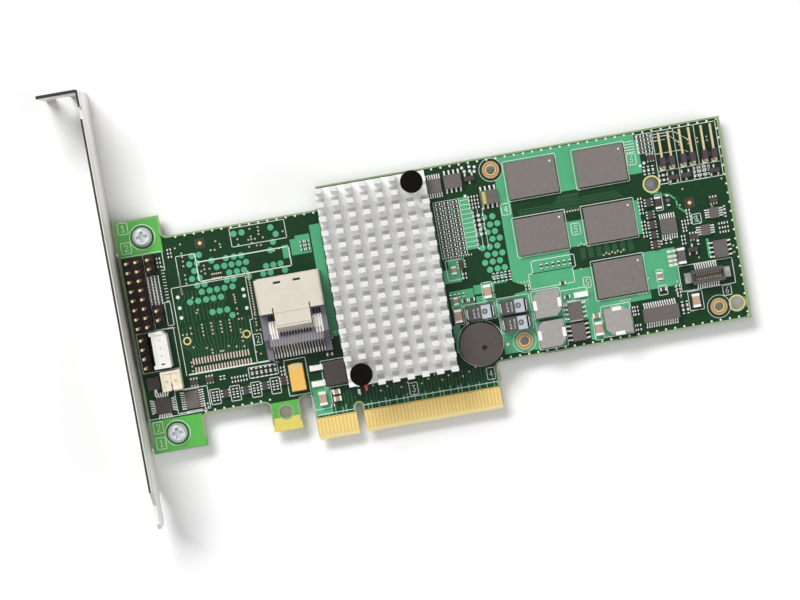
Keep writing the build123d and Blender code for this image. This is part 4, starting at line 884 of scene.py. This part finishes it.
def gull_wings(body, count, lead, places, lift=0.1, sheet=0.16):
    """Leads in two rows: a sheet's thickness carried along a soft S, from body to foot.

    Along the lead, the height falls as half a cosine between shoulder and foot."""
    pitch, width, reach = lead
    along = np.linspace(0, 1, 9)
    fall = np.clip((along - 0.22) / 0.42, 0, 1)
    low = (lift + body[2] / 2 - sheet / 2) * (0.5 + 0.5 * np.cos(np.pi * fall))
    lower = np.stack([along * reach, low], -1)
    upper = np.stack([along[::-1] * reach, low[::-1] + sheet], -1)
    upper[:, 0] += np.where((upper[:, 1] > sheet + 0.02) & (upper[:, 0] > 0), sheet * 0.6, 0)
    side = np.concatenate([lower, upper])
    rings = np.array([np.column_stack([side[:, 0] * 0 + edge, side[:, 0], side[:, 1]])
                      for edge in (width / 2, -width / 2)])
    seats = []
    for x, y, turn in places:
        for flip in (0, 180):
            angle = np.radians(turn + flip)
            for step in range(count):
                across = (step - (count - 1) / 2) * pitch
                seats.append((x + across * np.cos(angle) - body[1] / 2 * np.sin(angle),
                              y + across * np.sin(angle) + body[1] / 2 * np.cos(angle), 0,
                              turn + flip))
    return carried(rings, seats)


so8 = (4.9, 3.9, 1.45)
so8_places = [(35.7, 63.6, 0), (44.7, 57.65, 0), (104.7, 32.85, 90), (62.7, 22.95, 90),
              (62.65, 17.1, 90)]
wide = piece("formed_wide_leads", [(gull_wings(so8, 4, (1.27, 0.42, 1.15), so8_places),
                                           lead_finish)])
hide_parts("wide_leads")
fine_kinds = [((4.9, 3.9, 1.5), 8, (0.635, 0.3, 1.25), [(30.1, 63.1, 0), (-44.45, 17.25, 90)]),
              ((10.1, 4.0, 1.7), 14, (0.65, 0.32, 1.45), [(85.75, 18.15, 0)]),
              ((4.6, 4.35, 1.0), 7, (0.65, 0.3, 1.35), [(91.7, 41.35, 0)]),
              ((3.0, 2.6, 0.95), 4, (0.65, 0.32, 1.2), [(101.55, 38.55, 90), (104.6, 42.8, 90)])]
fine = piece("formed_fine_leads", [(merged(*[gull_wings(*kind) for kind in fine_kinds]),
                                           lead_finish)])
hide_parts("fine_leads")
sot_feet = [(95.3, 54.25, 1, 0.0), (95.3, 54.25, -1, -0.95), (95.3, 54.25, -1, 0.95),
            (98.7, 54.25, 1, -0.95), (98.7, 54.25, 1, 0.95), (98.7, 54.25, -1, 0.0),
            (106.6, 54.25, 1, 0.0), (106.6, 54.25, -1, -0.95), (106.6, 54.25, -1, 0.95),
            (97.2, 33.9, 1, 0.0), (97.2, 33.9, -1, -0.95), (97.2, 33.9, -1, 0.95),
            (40.25, 63.5, 1, -0.95), (40.25, 63.5, 1, 0.95), (40.25, 63.5, -1, 0.0)]
sot_leads = carried(levels(rectangle(0.5, 1.0), (0.0, 1), (0.14, 1), (0.5, 0.55)),
                    [(x + across, y + side * 1.05, 0, 0) for x, y, side, across in sot_feet])
small_leads = piece("formed_small_leads", [(sot_leads, lead_finish)])
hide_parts("transistor_leads")
stack_leads = piece("formed_stack_leads",
                    [(gull_wings((9.0, 3.9, 1.0), 10, (0.635, 0.3, 1.5), [(99.9, 26.35, 0)]),
                      lead_finish)])
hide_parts("stack_contacts")
stripe_finish = plain_finish("yellow_stripe", (0.42, 0.42, 0.08), (0.50, 0.49, 0.12), 0.8, 0.5)
stripe = plates([(42.85, 55.95, 43.85, 59.3)], 1.5, 1.57)
piece("paint_stripe", [(stripe, stripe_finish)])
first_pin_dots = carried(levels(circle(0.24, 12), (1.5, 1), (1.575, 1)),
                         [(33.9, 65.0, 0, 0), (103.3, 31.0, 0, 0), (61.3, 24.8, 0, 0)])
piece("first_pin_dots", [(first_pin_dots, dark_epoxy_finish)])

# Drive port: a folded shield of tinned sheet over a glass-filled body with two rows inside.
# The shield's top has two latch slots and two pressed lines; its flap holds the body down.
# Three bright ground fingers show at each side of the body, and grooves guide the tails; shade is
# painted dark into the grooves.
shield_finish = plain_finish("tinned_shield", (0.60, 0.55, 0.46), (0.72, 0.67, 0.57), 4.0, 0.34,
                             metallic=0.15, depth=0.008)
port_finish = plain_finish("grey_port_body", (0.150, 0.140, 0.175), (0.205, 0.192, 0.230), 0.8, 0.5,
                           depth=0.012)
eased("port_shield", "port_shield_eased", shield_finish, 0.08)
eased("port_body", "port_body_eased", port_finish, 0.1)
port_x = -13.15
shield_top = 9.7
pressed = plates([(port_x - 4.6, 43.2, port_x - 0.8, 43.5),
                  (port_x + 0.8, 43.2, port_x + 4.6, 43.5)], shield_top - 0.05, shield_top + 0.06)
# Painted shade: two darker lines across the flap at its creases.
flap_crease_shade = plates([(port_x - 4.7, 36.9, port_x + 4.7, 37.05),
                       (port_x - 4.7, 33.5, port_x + 4.7, 33.7)],
                      shield_top - 0.05, shield_top + 0.02)
finger_spots = [-6.5, -5.8, -5.1, 5.7, 6.5, 7.3]
side_fingers = plates([(port_x + spot - 0.22, 29.9, port_x + spot + 0.22, 34.9)
                       for spot in finger_spots], 6.55, 6.88)
painted_finger_root_shade = plates([(port_x + spot - 0.26, 34.9, port_x + spot + 0.26, 36.4)
                       for spot in finger_spots], 6.55, 6.84)
latch_shadows = plates([(port_x + side * 2.7 - 0.95, 44.85, port_x + side * 2.7 + 0.95, 45.4)
                        for side in (-1, 1)], shield_top - 0.3, shield_top + 0.01)
ground_finish = plain_finish("bright_ground_finger", (0.80, 0.77, 0.72), (0.92, 0.90, 0.86), 1.0,
                             0.34, metallic=0.1)
crease_shade_finish = plain_finish("crease_shade", (0.36, 0.33, 0.27), (0.44, 0.41, 0.34), 1.0, 0.4)
piece("port_trim", [(pressed, shield_finish), (side_fingers, ground_finish),
                                    (flap_crease_shade, crease_shade_finish)])
# Near-black plates painted as shade: in the comb's grooves, at the latch slots and at the fingers'
# roots, and further down over the small connectors' slots.
shade_plate_finish = plain_finish("painted_shade_plate", (0.012, 0.011, 0.013), (0.022, 0.02, 0.024), 0.6, 0.5,
                           gloss=0.15)
pale_comb_finish = plain_finish("pale_comb", (0.24, 0.22, 0.23), (0.34, 0.32, 0.32), 0.5, 0.5)
cheek_floor = plates([(port_x - 7.3, 27.95, port_x + 7.3, 31.4)], 6.5, 6.84)
painted_groove_shade = plates([(port_x + 0.8 * i - 0.22, 30.4, port_x + 0.8 * i + 0.22, 31.6)
                    for i in range(-5, 6)], 6.8, 6.92)
comb_bars = plates([(port_x + 0.8 * i - 0.16, 28.0, port_x + 0.8 * i + 0.16, 30.0)
                    for i in range(-9, 9)], 6.8, 6.90)
piece("port_comb_and_shade", [(cheek_floor, port_finish), (painted_groove_shade, shade_plate_finish),
                                    (comb_bars, pale_comb_finish), (latch_shadows, shade_plate_finish),
                                    (painted_finger_root_shade, shade_plate_finish)])

# Pin headers: black glass-filled strips with square gold pins through them.
# The pins' tips are chamfered, and their lower ends are soldered at the card's back.
# The two small connectors are white and beige nylon shrouds with pins inside.
header_finish = plain_finish("header_plastic", (0.024, 0.016, 0.015), (0.040, 0.028, 0.027), 0.7,
                             0.5, depth=0.01, gloss=0.12)
for node in ("io_header", "jumper_headers", "led_header"):
    eased(node, node + "_eased", header_finish, 0.06)
pin_finish = plain_finish("gold_pin", (0.56, 0.43, 0.23), (0.72, 0.60, 0.38), 1.2, 0.26,
                          metallic=0.4, depth=0.003)
for node in ("io_header_pins", "jumper_header_pins", "led_header_pins", "angle_header_pins",
             "battery_pins"):
    eased(node, node + "_eased", pin_finish, 0.04)
angle_finish = plain_finish("purple_black_plastic", (0.050, 0.036, 0.046), (0.075, 0.058, 0.068),
                            0.7, 0.45, depth=0.01, gloss=0.3)
angle_columns = [x + side * 1.27 for x in (94.15, 99.9, 105.87) for side in (-1, 1)]
halves = carried(levels(rectangle(1.6, 2.5), (0.0, 1), (2.3, 1), (2.5, 0.9)),
                 [(x, 58.88, 0, 0) for x in angle_columns])
webs = plates([(x - 1.2, 58.2, x + 1.2, 59.5) for x in (94.15, 99.9, 105.87)], 0.0, 1.5)
angle_blocks = piece("angle_blocks", [(merged(halves, webs), angle_finish)])
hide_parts("angle_headers")
curl_finish = plain_finish("solder_collar", (0.68, 0.64, 0.44), (0.84, 0.82, 0.66), 0.5, 0.3,
                           metallic=0.2, depth=0.01)
collars = hoops(0.42, 0.86, 0, 0.3, [(x, 57.22) for x in angle_columns], 20)
piece("solder_collars", [(collars, curl_finish)])
eased("wafer_pins", "wafer_pins_eased", lead_finish, 0.04)
white_finish = plain_finish("white_nylon", (0.73, 0.72, 0.68), (0.83, 0.82, 0.78), 1.2, 0.4,
                            depth=0.008)
beige_finish = plain_finish("beige_nylon", (0.71, 0.63, 0.49), (0.81, 0.74, 0.60), 1.2, 0.42,
                            depth=0.008)
eased("wafer_connector", "wafer_eased", white_finish, 0.1)
wafer_fill = plates([(-51.55, 28.0, -48.55, 36.6)], 1.2, 5.35)
# Grey dots over the three pins are painted reflections, and a dark plate over the slot is painted
# shade.
painted_pin_reflections = carried(levels(circle(0.3, 10), (5.35, 1), (5.42, 1)),
                      [(-50.05, 32.35 + row * 2.1 + 0.5, 0, 0) for row in (-1, 0, 1)])
painted_wafer_slot_shade = plates([(-50.6, 28.3, -49.6, 28.65)], 5.35, 5.42)
pin_reflection_finish = plain_finish("painted_pin_reflection", (0.52, 0.50, 0.46), (0.62, 0.60, 0.56), 0.6, 0.5)
piece("wafer_inside", [(wafer_fill, white_finish), (painted_pin_reflections, pin_reflection_finish),
                                        (painted_wafer_slot_shade, shade_plate_finish)])
eased("battery_connector", "battery_eased", beige_finish, 0.12)
battery_fill = plates([(-50.95, 21.5, -48.95, 25.7), (-48.75, 21.5, -46.75, 25.7)], 1.4, 4.75)
battery_floor = plates([(-50.95, 21.5, -46.75, 25.7)], 1.35, 4.5)
battery_marks = carried(levels(circle(0.45, 10), (4.75, 1), (4.8, 1)),
                        [(-48.85 + side * 1.2, 23.5, 0, 0) for side in (-1, 1)])
amber_finish = plain_finish("amber_mark", (0.56, 0.42, 0.18), (0.66, 0.52, 0.26), 0.6, 0.45)
# A dark plate over the slot is painted shade.
painted_battery_slot_shade = plates([(-49.0, 21.9, -48.7, 22.9)], 4.75, 4.82)
piece("battery_inside", [
    (battery_fill, beige_finish), (battery_floor, beige_finish),
    (battery_marks, amber_finish), (painted_battery_slot_shade, shade_plate_finish)])
pin_columns = [(-53.68 + side * 1.27, 48.0 + (row - 3.5) * 2.54) for side in (-1, 1)
               for row in range(8)]
pin_columns += [(x, y + side * 1.27) for x, y in ((-49.2, 55.7), (-49.2, 41.75))
                for side in (-1, 1)]
pin_columns += [(-54.75, 32.05 + (row - 1.5) * 2.54) for row in range(4)]
pin_columns += [(x + side * 1.27, 57.22) for x in (94.15, 99.9, 105.87) for side in (-1, 1)]
pin_columns += [(-50.05, 32.35 + row * 2.5) for row in (-1, 0, 1)]
pin_columns += [(-48.85 + side * 1.1, 23.6) for side in (-1, 1)]
cone = levels(circle(0.95, 16), (bottom_face - 0.95, 0.42), (bottom_face - 0.5, 0.6),
              (bottom_face - 0.15, 0.85), (bottom_face, 1))
piece("solder_cones", [(carried(cone, [(x, y, 0, 0) for x, y in pin_columns]),
                               solder_finish)], smooth=True)

# Board-to-board connector: a grey box with a brown slot, held by two metal tabs.
# Its contacts stand in two rows inside the slot.
# The slot's floor is a darker brown.
stack_finish = plain_finish("grey_stack_plastic", (0.075, 0.068, 0.072), (0.12, 0.11, 0.115), 0.7,
                            0.5, depth=0.01, gloss=0.2)
eased("stack_connector", "stack_connector_eased", stack_finish, 0.08)
slot_finish = plain_finish("brown_slot", (0.05, 0.032, 0.03), (0.075, 0.05, 0.045), 0.5, 0.5)
slot_floor = plates([(99.9 - 4.05, 26.35 - 0.92, 99.9 + 4.05, 26.35 + 0.92)], 1.0, 2.6)
slot_rows = plates([(96.9 + 0.635 * i - 0.1, y - 0.16, 96.9 + 0.635 * i + 0.1, y + 0.16)
                    for i in range(11) for y in (25.7, 27.0)], 2.6, 2.8)
piece("stack_slot", [(slot_floor, slot_finish), (slot_rows, pin_finish)])

# Capacitors: moulded cases on folded terminals; the tantalum one is orange.
# A pale band marks one end of each dark case, and the orange one has a bar across.
# Ceramic capacitors are fired brown blocks between tinned ends.
orange_finish = plain_finish("orange_case", (0.76, 0.43, 0.07), (0.84, 0.50, 0.12), 2.4, 0.42,
                             depth=0.008)
case_finish = plain_finish("dark_case", (0.070, 0.062, 0.064), (0.090, 0.082, 0.084), 1.0, 0.45,
                           depth=0.01, gloss=0.3)
band_finish = plain_finish("pale_band", (0.42, 0.45, 0.52), (0.50, 0.53, 0.58), 1.0, 0.5)
ceramic_finish = plain_finish("fired_ceramic", (0.40, 0.25, 0.175), (0.54, 0.37, 0.28), 0.8, 0.4,
                              depth=0.01)
eased("tantalum_capacitor", "tantalum_eased", orange_finish, 0.12)
eased("polymer_capacitors", "polymer_eased", case_finish, 0.1)
eased("ceramic_capacitors", "ceramic_eased", ceramic_finish, 0.04)
polymer_centres = [(36.95, 27.15), (46.15, 27.2), (46.2, 22.5)]
bands = plates([(x + 0.35, y - 1.83, x + 2.9, y + 1.83) for x, y in polymer_centres], 2.85, 2.965)
folds = plates([box for x, y in polymer_centres
                for box in ((x + 2.9, y - 1.4, x + 3.55, y + 1.4),
                            (x - 3.55, y - 1.4, x - 3.2, y + 1.4))], 2.85, 2.95)
plus_discs = carried(levels(circle(0.78, 20), (2.9, 1), (2.985, 1)),
                     [(x + 1.25, y + 0.1, 0, 0) for x, y in polymer_centres])
pluses = plates([box for x, y in polymer_centres
                 for box in ((x + 0.75, y - 0.02, x + 1.75, y + 0.22),
                             (x + 1.13, y - 0.4, x + 1.37, y + 0.6))], 2.95, 3.0)
figures = strokes([[(x - 2.0 + 1.2 * column + 0.55 * u, y + 0.62 - 0.95 * row + 0.6 * v)
                    for u, v in line]
                   for x, y in polymer_centres for column, word in enumerate(("614", "563"))
                   for row, glyph in enumerate(word) for line in glyphs[glyph]],
                  0.14, 2.85, 2.96)
piece("case_figures", [(figures, ink_finish)])
piece("capacitor_bands", [(bands, band_finish), (folds, lead_finish),
                                             (plus_discs, case_finish), (pluses, band_finish)])
orange_band = plates([(-15.2 - 1.83, 21.0, -15.2 + 1.83, 21.5)], 2.9, 2.965)
piece("orange_band", [(orange_band, band_finish)])

# Inductors: pressed grey ferrite with two corners cut, in tinned clips.
# The pressed powder has a speckled, slightly shiny face.
# The sounder is a black moulded drum with its sound hole near the middle.
ferrite_finish = plain_finish("pressed_ferrite", (0.28, 0.265, 0.25), (0.42, 0.40, 0.38), 0.8, 0.5,
                              depth=0.03, gloss=0.3)
eased("power_inductors", "inductors_eased", ferrite_finish, 0.25)
sounder_finish = plain_finish("sounder_case", (0.068, 0.056, 0.051), (0.088, 0.075, 0.068), 1.2,
                              0.5, depth=0.012, gloss=0.3)
eased("sounder", "sounder_eased", sounder_finish, 0.12)
led_finish = plain_finish("red_resin", (0.65, 0.01, 0.012), (0.8, 0.03, 0.03), 0.6, 0.25,
                          depth=0.002, coat=0.5)
wear("status_led", led_finish)
wear("protection_diode", epoxy_finish)

# Chip parts: resistors with black glaze and capacitors of tan ceramic, tinned at both ends.
# They stand in fields of equal pitch beside the chips they serve.
# Each is a block with two caps a little proud of it, and many lie free between the chips.
glaze_finish = plain_finish("resistor_glaze", (0.02, 0.02, 0.024), (0.035, 0.035, 0.04), 0.5, 0.35,
                            depth=0.004)
tan_finish = plain_finish("capacitor_ceramic", (0.30, 0.20, 0.13), (0.40, 0.28, 0.19), 0.5, 0.4,
                          depth=0.004)


def chip(length, width, height, cap):
    """Body and end caps of a chip part that lies along X."""
    body = levels(rectangle(length - 2 * cap + 0.06, width), (0.0, 1), (height, 1))
    end = levels(rounded(cap, width + 0.06, 0.05, 2), (0.0, 1), (height + 0.02, 1),
                 (height + 0.05, 0.9))
    return body, end, (length - cap) / 2


def chip_caps(places, offset):
    """Places of both caps of chips at (x, y, turn)."""
    places = np.array(places, float)
    turn = np.radians(places[:, 2])
    both = [np.column_stack([places[:, 0] + side * offset * np.cos(turn),
                             places[:, 1] + side * offset * np.sin(turn),
                             0 * turn, places[:, 2]]) for side in (-1, 1)]
    return np.concatenate(both)


def grid_of(x, y, columns, rows, pitch_x, pitch_y, turn):
    """Places of a field of chip parts round its centre."""
    return [(x + (i - (columns - 1) / 2) * pitch_x, y + (j - (rows - 1) / 2) * pitch_y, turn)
            for i in range(columns) for j in range(rows)]


fields = [(32.95, 50.95, 3, 12, 2.35, 1.28, 0), (-49.2, 48.3, 2, 10, 1.9, 0.8, 0),
          (88.6, 64.6, 2, 5, 1.9, 1.05, 0), (41.0, 50.6, 2, 5, 1.5, 1.3, 0),
          (-24.0, 21.4, 6, 2, 1.27, 1.5, 90), (59.6, 36.5, 6, 1, 1.6, 1.0, 90)]
field_places = [place for field in fields for place in grid_of(*field)]
body, end, offset = chip(1.3, 0.6, 0.45, 0.3)
flat_places = [(x, y, 0, turn) for x, y, turn in field_places]
chips = piece("field_chips", [
    (carried(body, flat_places), glaze_finish),
    (carried(end, chip_caps(field_places, offset)), lead_finish)])
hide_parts("chip_parts")


def chip_group(name, shape, colour, rows_of_chips):
    """All loose chips of one size: rows (x, y, columns, rows, pitch x, pitch y, turn)."""
    body, end, offset = shape
    spots = [place for row in rows_of_chips for place in grid_of(*row)]
    piece(name, [
        (carried(body, [(x, y, 0, turn) for x, y, turn in spots]), colour),
        (carried(end, chip_caps(spots, offset)), lead_finish)])


chip_group("small_resistors", chip(1.1, 0.55, 0.4, 0.28), glaze_finish, [
    (-38.15, 16.2, 2, 1, 1.0, 1.0, 90), (-38.15, 17.7, 2, 1, 1.0, 1.0, 90),
    (-32.6, 16.2, 2, 1, 1.0, 1.0, 90), (-32.6, 17.7, 2, 1, 1.0, 1.0, 90),
    (-26.9, 16.2, 2, 1, 1.0, 1.0, 90), (-26.9, 17.7, 2, 1, 1.0, 1.0, 90),
    (-21.5, 16.4, 2, 1, 1.0, 1.0, 90), (-21.5, 17.9, 2, 1, 1.0, 1.0, 90),
    (-35.4, 21.7, 2, 1, 1.0, 1.0, 90), (-41.0, 14.9, 1, 2, 1.0, 1.0, 0),
    (-30.9, 20.6, 3, 2, 1.6, 1.1, 0), (-18.9, 20.6, 1, 3, 1.6, 1.0, 0),
    (-46.9, 55.6, 1, 3, 1.0, 1.1, 0), (-43.6, 57.6, 1, 3, 1.0, 1.0, 0),
    (39.6, 57.0, 1, 4, 1.6, 1.0, 0), (41.2, 57.0, 1, 4, 1.6, 1.0, 0),
    (34.6, 37.6, 1, 2, 1.0, 1.1, 0), (44.6, 36.4, 5, 1, 1.1, 1.0, 90),
    (44.6, 34.9, 5, 1, 1.1, 1.0, 90), (88.9, 57.3, 3, 2, 1.2, 1.2, 90),
    (92.6, 54.6, 2, 2, 1.2, 1.3, 0), (103.2, 54.6, 3, 3, 1.5, 1.1, 0),
    (97.6, 42.9, 1, 5, 1.0, 0.9, 0), (96.0, 40.6, 1, 4, 1.0, 0.9, 0),
    (106.6, 38.4, 2, 3, 1.5, 1.2, 0), (107.6, 42.7, 1, 3, 1.0, 1.0, 90),
    (91.6, 23.4, 1, 4, 1.0, 0.9, 0), (78.6, 15.4, 2, 2, 1.4, 1.2, 0),
    (78.6, 20.0, 2, 3, 1.4, 1.0, 0), (92.6, 18.6, 2, 3, 1.3, 1.2, 90),
    (90.4, 37.2, 3, 1, 1.3, 1.0, 90), (85.1, 48.0, 1, 5, 1.0, 1.0, 0),
    (85.1, 41.6, 1, 5, 1.0, 1.0, 0), (-7.0, 8.9, 1, 1, 1.0, 1.0, 0),
    (31.6, 32.6, 4, 1, 1.2, 1.0, 90), (50.9, 31.5, 1, 2, 1.0, 0.9, 0),
    (-6.9, 53.4, 2, 3, 1.4, 1.1, 0), (-1.3, 60.4, 1, 4, 1.0, 1.0, 0),
    (99.0, 36.6, 1, 3, 1.0, 1.1, 90), (95.2, 36.9, 1, 3, 1.0, 1.0, 0)])
chip_group("middle_resistors", chip(1.7, 0.85, 0.5, 0.35), glaze_finish, [
    (87.5, 24.5, 1, 1, 1.0, 1.0, 0), (61.2, 27.1, 1, 1, 1.0, 1.0, 0),
    (34.4, 30.9, 2, 1, 1.9, 1.0, 0), (60.6, 31.0, 1, 1, 1.0, 1.0, 0),
    (-5.4, 22.9, 1, 1, 1.0, 1.0, 0), (92.7, 48.3, 1, 2, 1.0, 1.3, 90)])
chip_group("tall_resistor", chip(3.3, 1.6, 0.6, 0.55), glaze_finish, [
    (89.95, 48.1, 1, 1, 1.0, 1.0, 90)])
chip_group("tan_capacitors", chip(2.1, 1.3, 0.9, 0.45), tan_finish, [
    (31.9, 39.6, 1, 1, 1.0, 1.0, 90), (87.1, 28.3, 1, 1, 1.0, 1.0, 90),
    (-5.4, 11.5, 1, 2, 1.0, 1.9, 0), (68.25, 20.6, 1, 1, 1.0, 1.0, 0),
    (31.0, 31.2, 1, 1, 1.0, 1.0, 90)])
chip_group("pale_capacitors", chip(3.9, 1.45, 0.9, 0.9), lead_finish, [
    (-9.7, 15.5, 1, 1, 1.0, 1.0, 0), (-9.6, 19.9, 1, 1, 1.0, 1.0, 0),
    (65.0, 27.1, 1, 1, 1.0, 1.0, 0)])

# Small transistors and logic in three- and six-lead packages, scattered between the chips.
# Each is a low drafted block of epoxy with short flat leads under its two long sides.
# Their leads are tinned feet that stand out by less than half a millimetre.
little = [(-35.35, 17.3, 90), (-29.65, 17.2, 90), (-24.4, 17.5, 90), (-19.1, 17.9, 90),
          (-43.2, 21.8, 0), (-38.9, 21.8, 0), (87.4, 48.6, 90), (87.4, 45.2, 90), (87.4, 42.4, 90),
          (87.4, 39.7, 90), (87.4, 37.0, 90), (105.0, 46.2, 0), (98.0, 37.4, 0), (89.9, 60.6, 0),
          (34.2, 40.8, 90)]
little_body = levels(rectangle(2.4, 1.5), (0.08, 0.93), (0.5, 1), (0.9, 0.92))
foot_places = [(x + (step * np.cos(np.radians(turn)) - side * 0.95 * np.sin(np.radians(turn))),
                y + (step * np.sin(np.radians(turn)) + side * 0.95 * np.cos(np.radians(turn))),
                0, turn) for step in (-0.8, 0.0, 0.8) for side in (-1, 1) for x, y, turn in little]
little_feet = carried(levels(rectangle(0.36, 0.5), (0, 1), (0.16, 1)), foot_places)
piece("little_packages", [
    (carried(little_body, [(x, y, 0, turn) for x, y, turn in little]), dark_epoxy_finish),
    (little_feet, lead_finish)])

# Floor and light: a white table, a soft lamp up to the left, one overhead and one to the right.
# The camera looks almost straight down from 0.58 m, as the photograph's did.
# Its turn comes from the card's own corners in the photograph.
floor_finish = plain_finish("white_table", (0.91, 0.91, 0.91), (0.92, 0.92, 0.92), 60.0, 0.8,
                            gloss=0.1)
floor_height = -4.0
floor_points, floor_faces = carried(levels(rectangle(3000, 3000), (-6.0, 1), (0, 1)),
                                    (0, 0, floor_height, 0))
floor_mesh = bpy.data.meshes.new("table")
floor_mesh.from_pydata((floor_points * MM).tolist(), [], floor_faces)
floor_mesh.materials.append(floor_finish.material)
table = bpy.data.objects.new("table", floor_mesh)
bpy.context.scene.collection.objects.link(table)


def soft_lamp(name, spot, aim, width, height, power):
    """A flat lamp of that width and height, in metres, turned to its aim."""
    lamp = bpy.data.lights.new(name, "AREA")
    lamp.shape = "RECTANGLE"
    lamp.size = width
    lamp.size_y = height
    lamp.energy = power
    holder = bpy.data.objects.new(name, lamp)
    holder.location = spot
    holder.rotation_euler = (Vector(aim) - Vector(spot)).to_track_quat("-Z", "Y").to_euler()
    bpy.context.scene.collection.objects.link(holder)


middle = (0.025, 0.04, 0.0)
soft_lamp("key_lamp", (-0.72, 1.49, 1.44), middle, 1.3, 0.6, 46.0)
soft_lamp("overhead_lamp", (0.025, 0.04, 2.0), middle, 1.7, 1.7, 10.0)
soft_lamp("side_lamp", (1.45, -0.75, 0.8), middle, 1.2, 1.2, 14.0)
world = bpy.data.worlds.new("studio")
world.use_nodes = True
world.node_tree.nodes["Background"].inputs[0].default_value = (1, 1, 1, 1)
world.node_tree.nodes["Background"].inputs[1].default_value = 0.16
bpy.context.scene.world = world
bpy.context.scene.view_settings.view_transform = "Standard"

focal_pixels = 2135.04
photo_width = 800
sensor = 36.0
view_turn = Vector((3.18900, -0.27890, 0.01952))
view_shift = Vector((-9.8902, 36.3518, 585.1547))
to_camera = Matrix.Rotation(view_turn.length, 3, view_turn)
camera_data = bpy.data.cameras.new("camera")
camera_data.sensor_width = sensor
camera_data.lens = focal_pixels / photo_width * sensor
camera = bpy.data.objects.new("camera", camera_data)
from_camera = to_camera.transposed() @ Matrix(((1, 0, 0), (0, -1, 0), (0, 0, -1)))
camera_place = -(to_camera.transposed() @ view_shift) * MM
camera.matrix_world = Matrix.Translation(camera_place) @ from_camera.to_4x4()
bpy.context.scene.collection.objects.link(camera)
bpy.context.scene.camera = camera
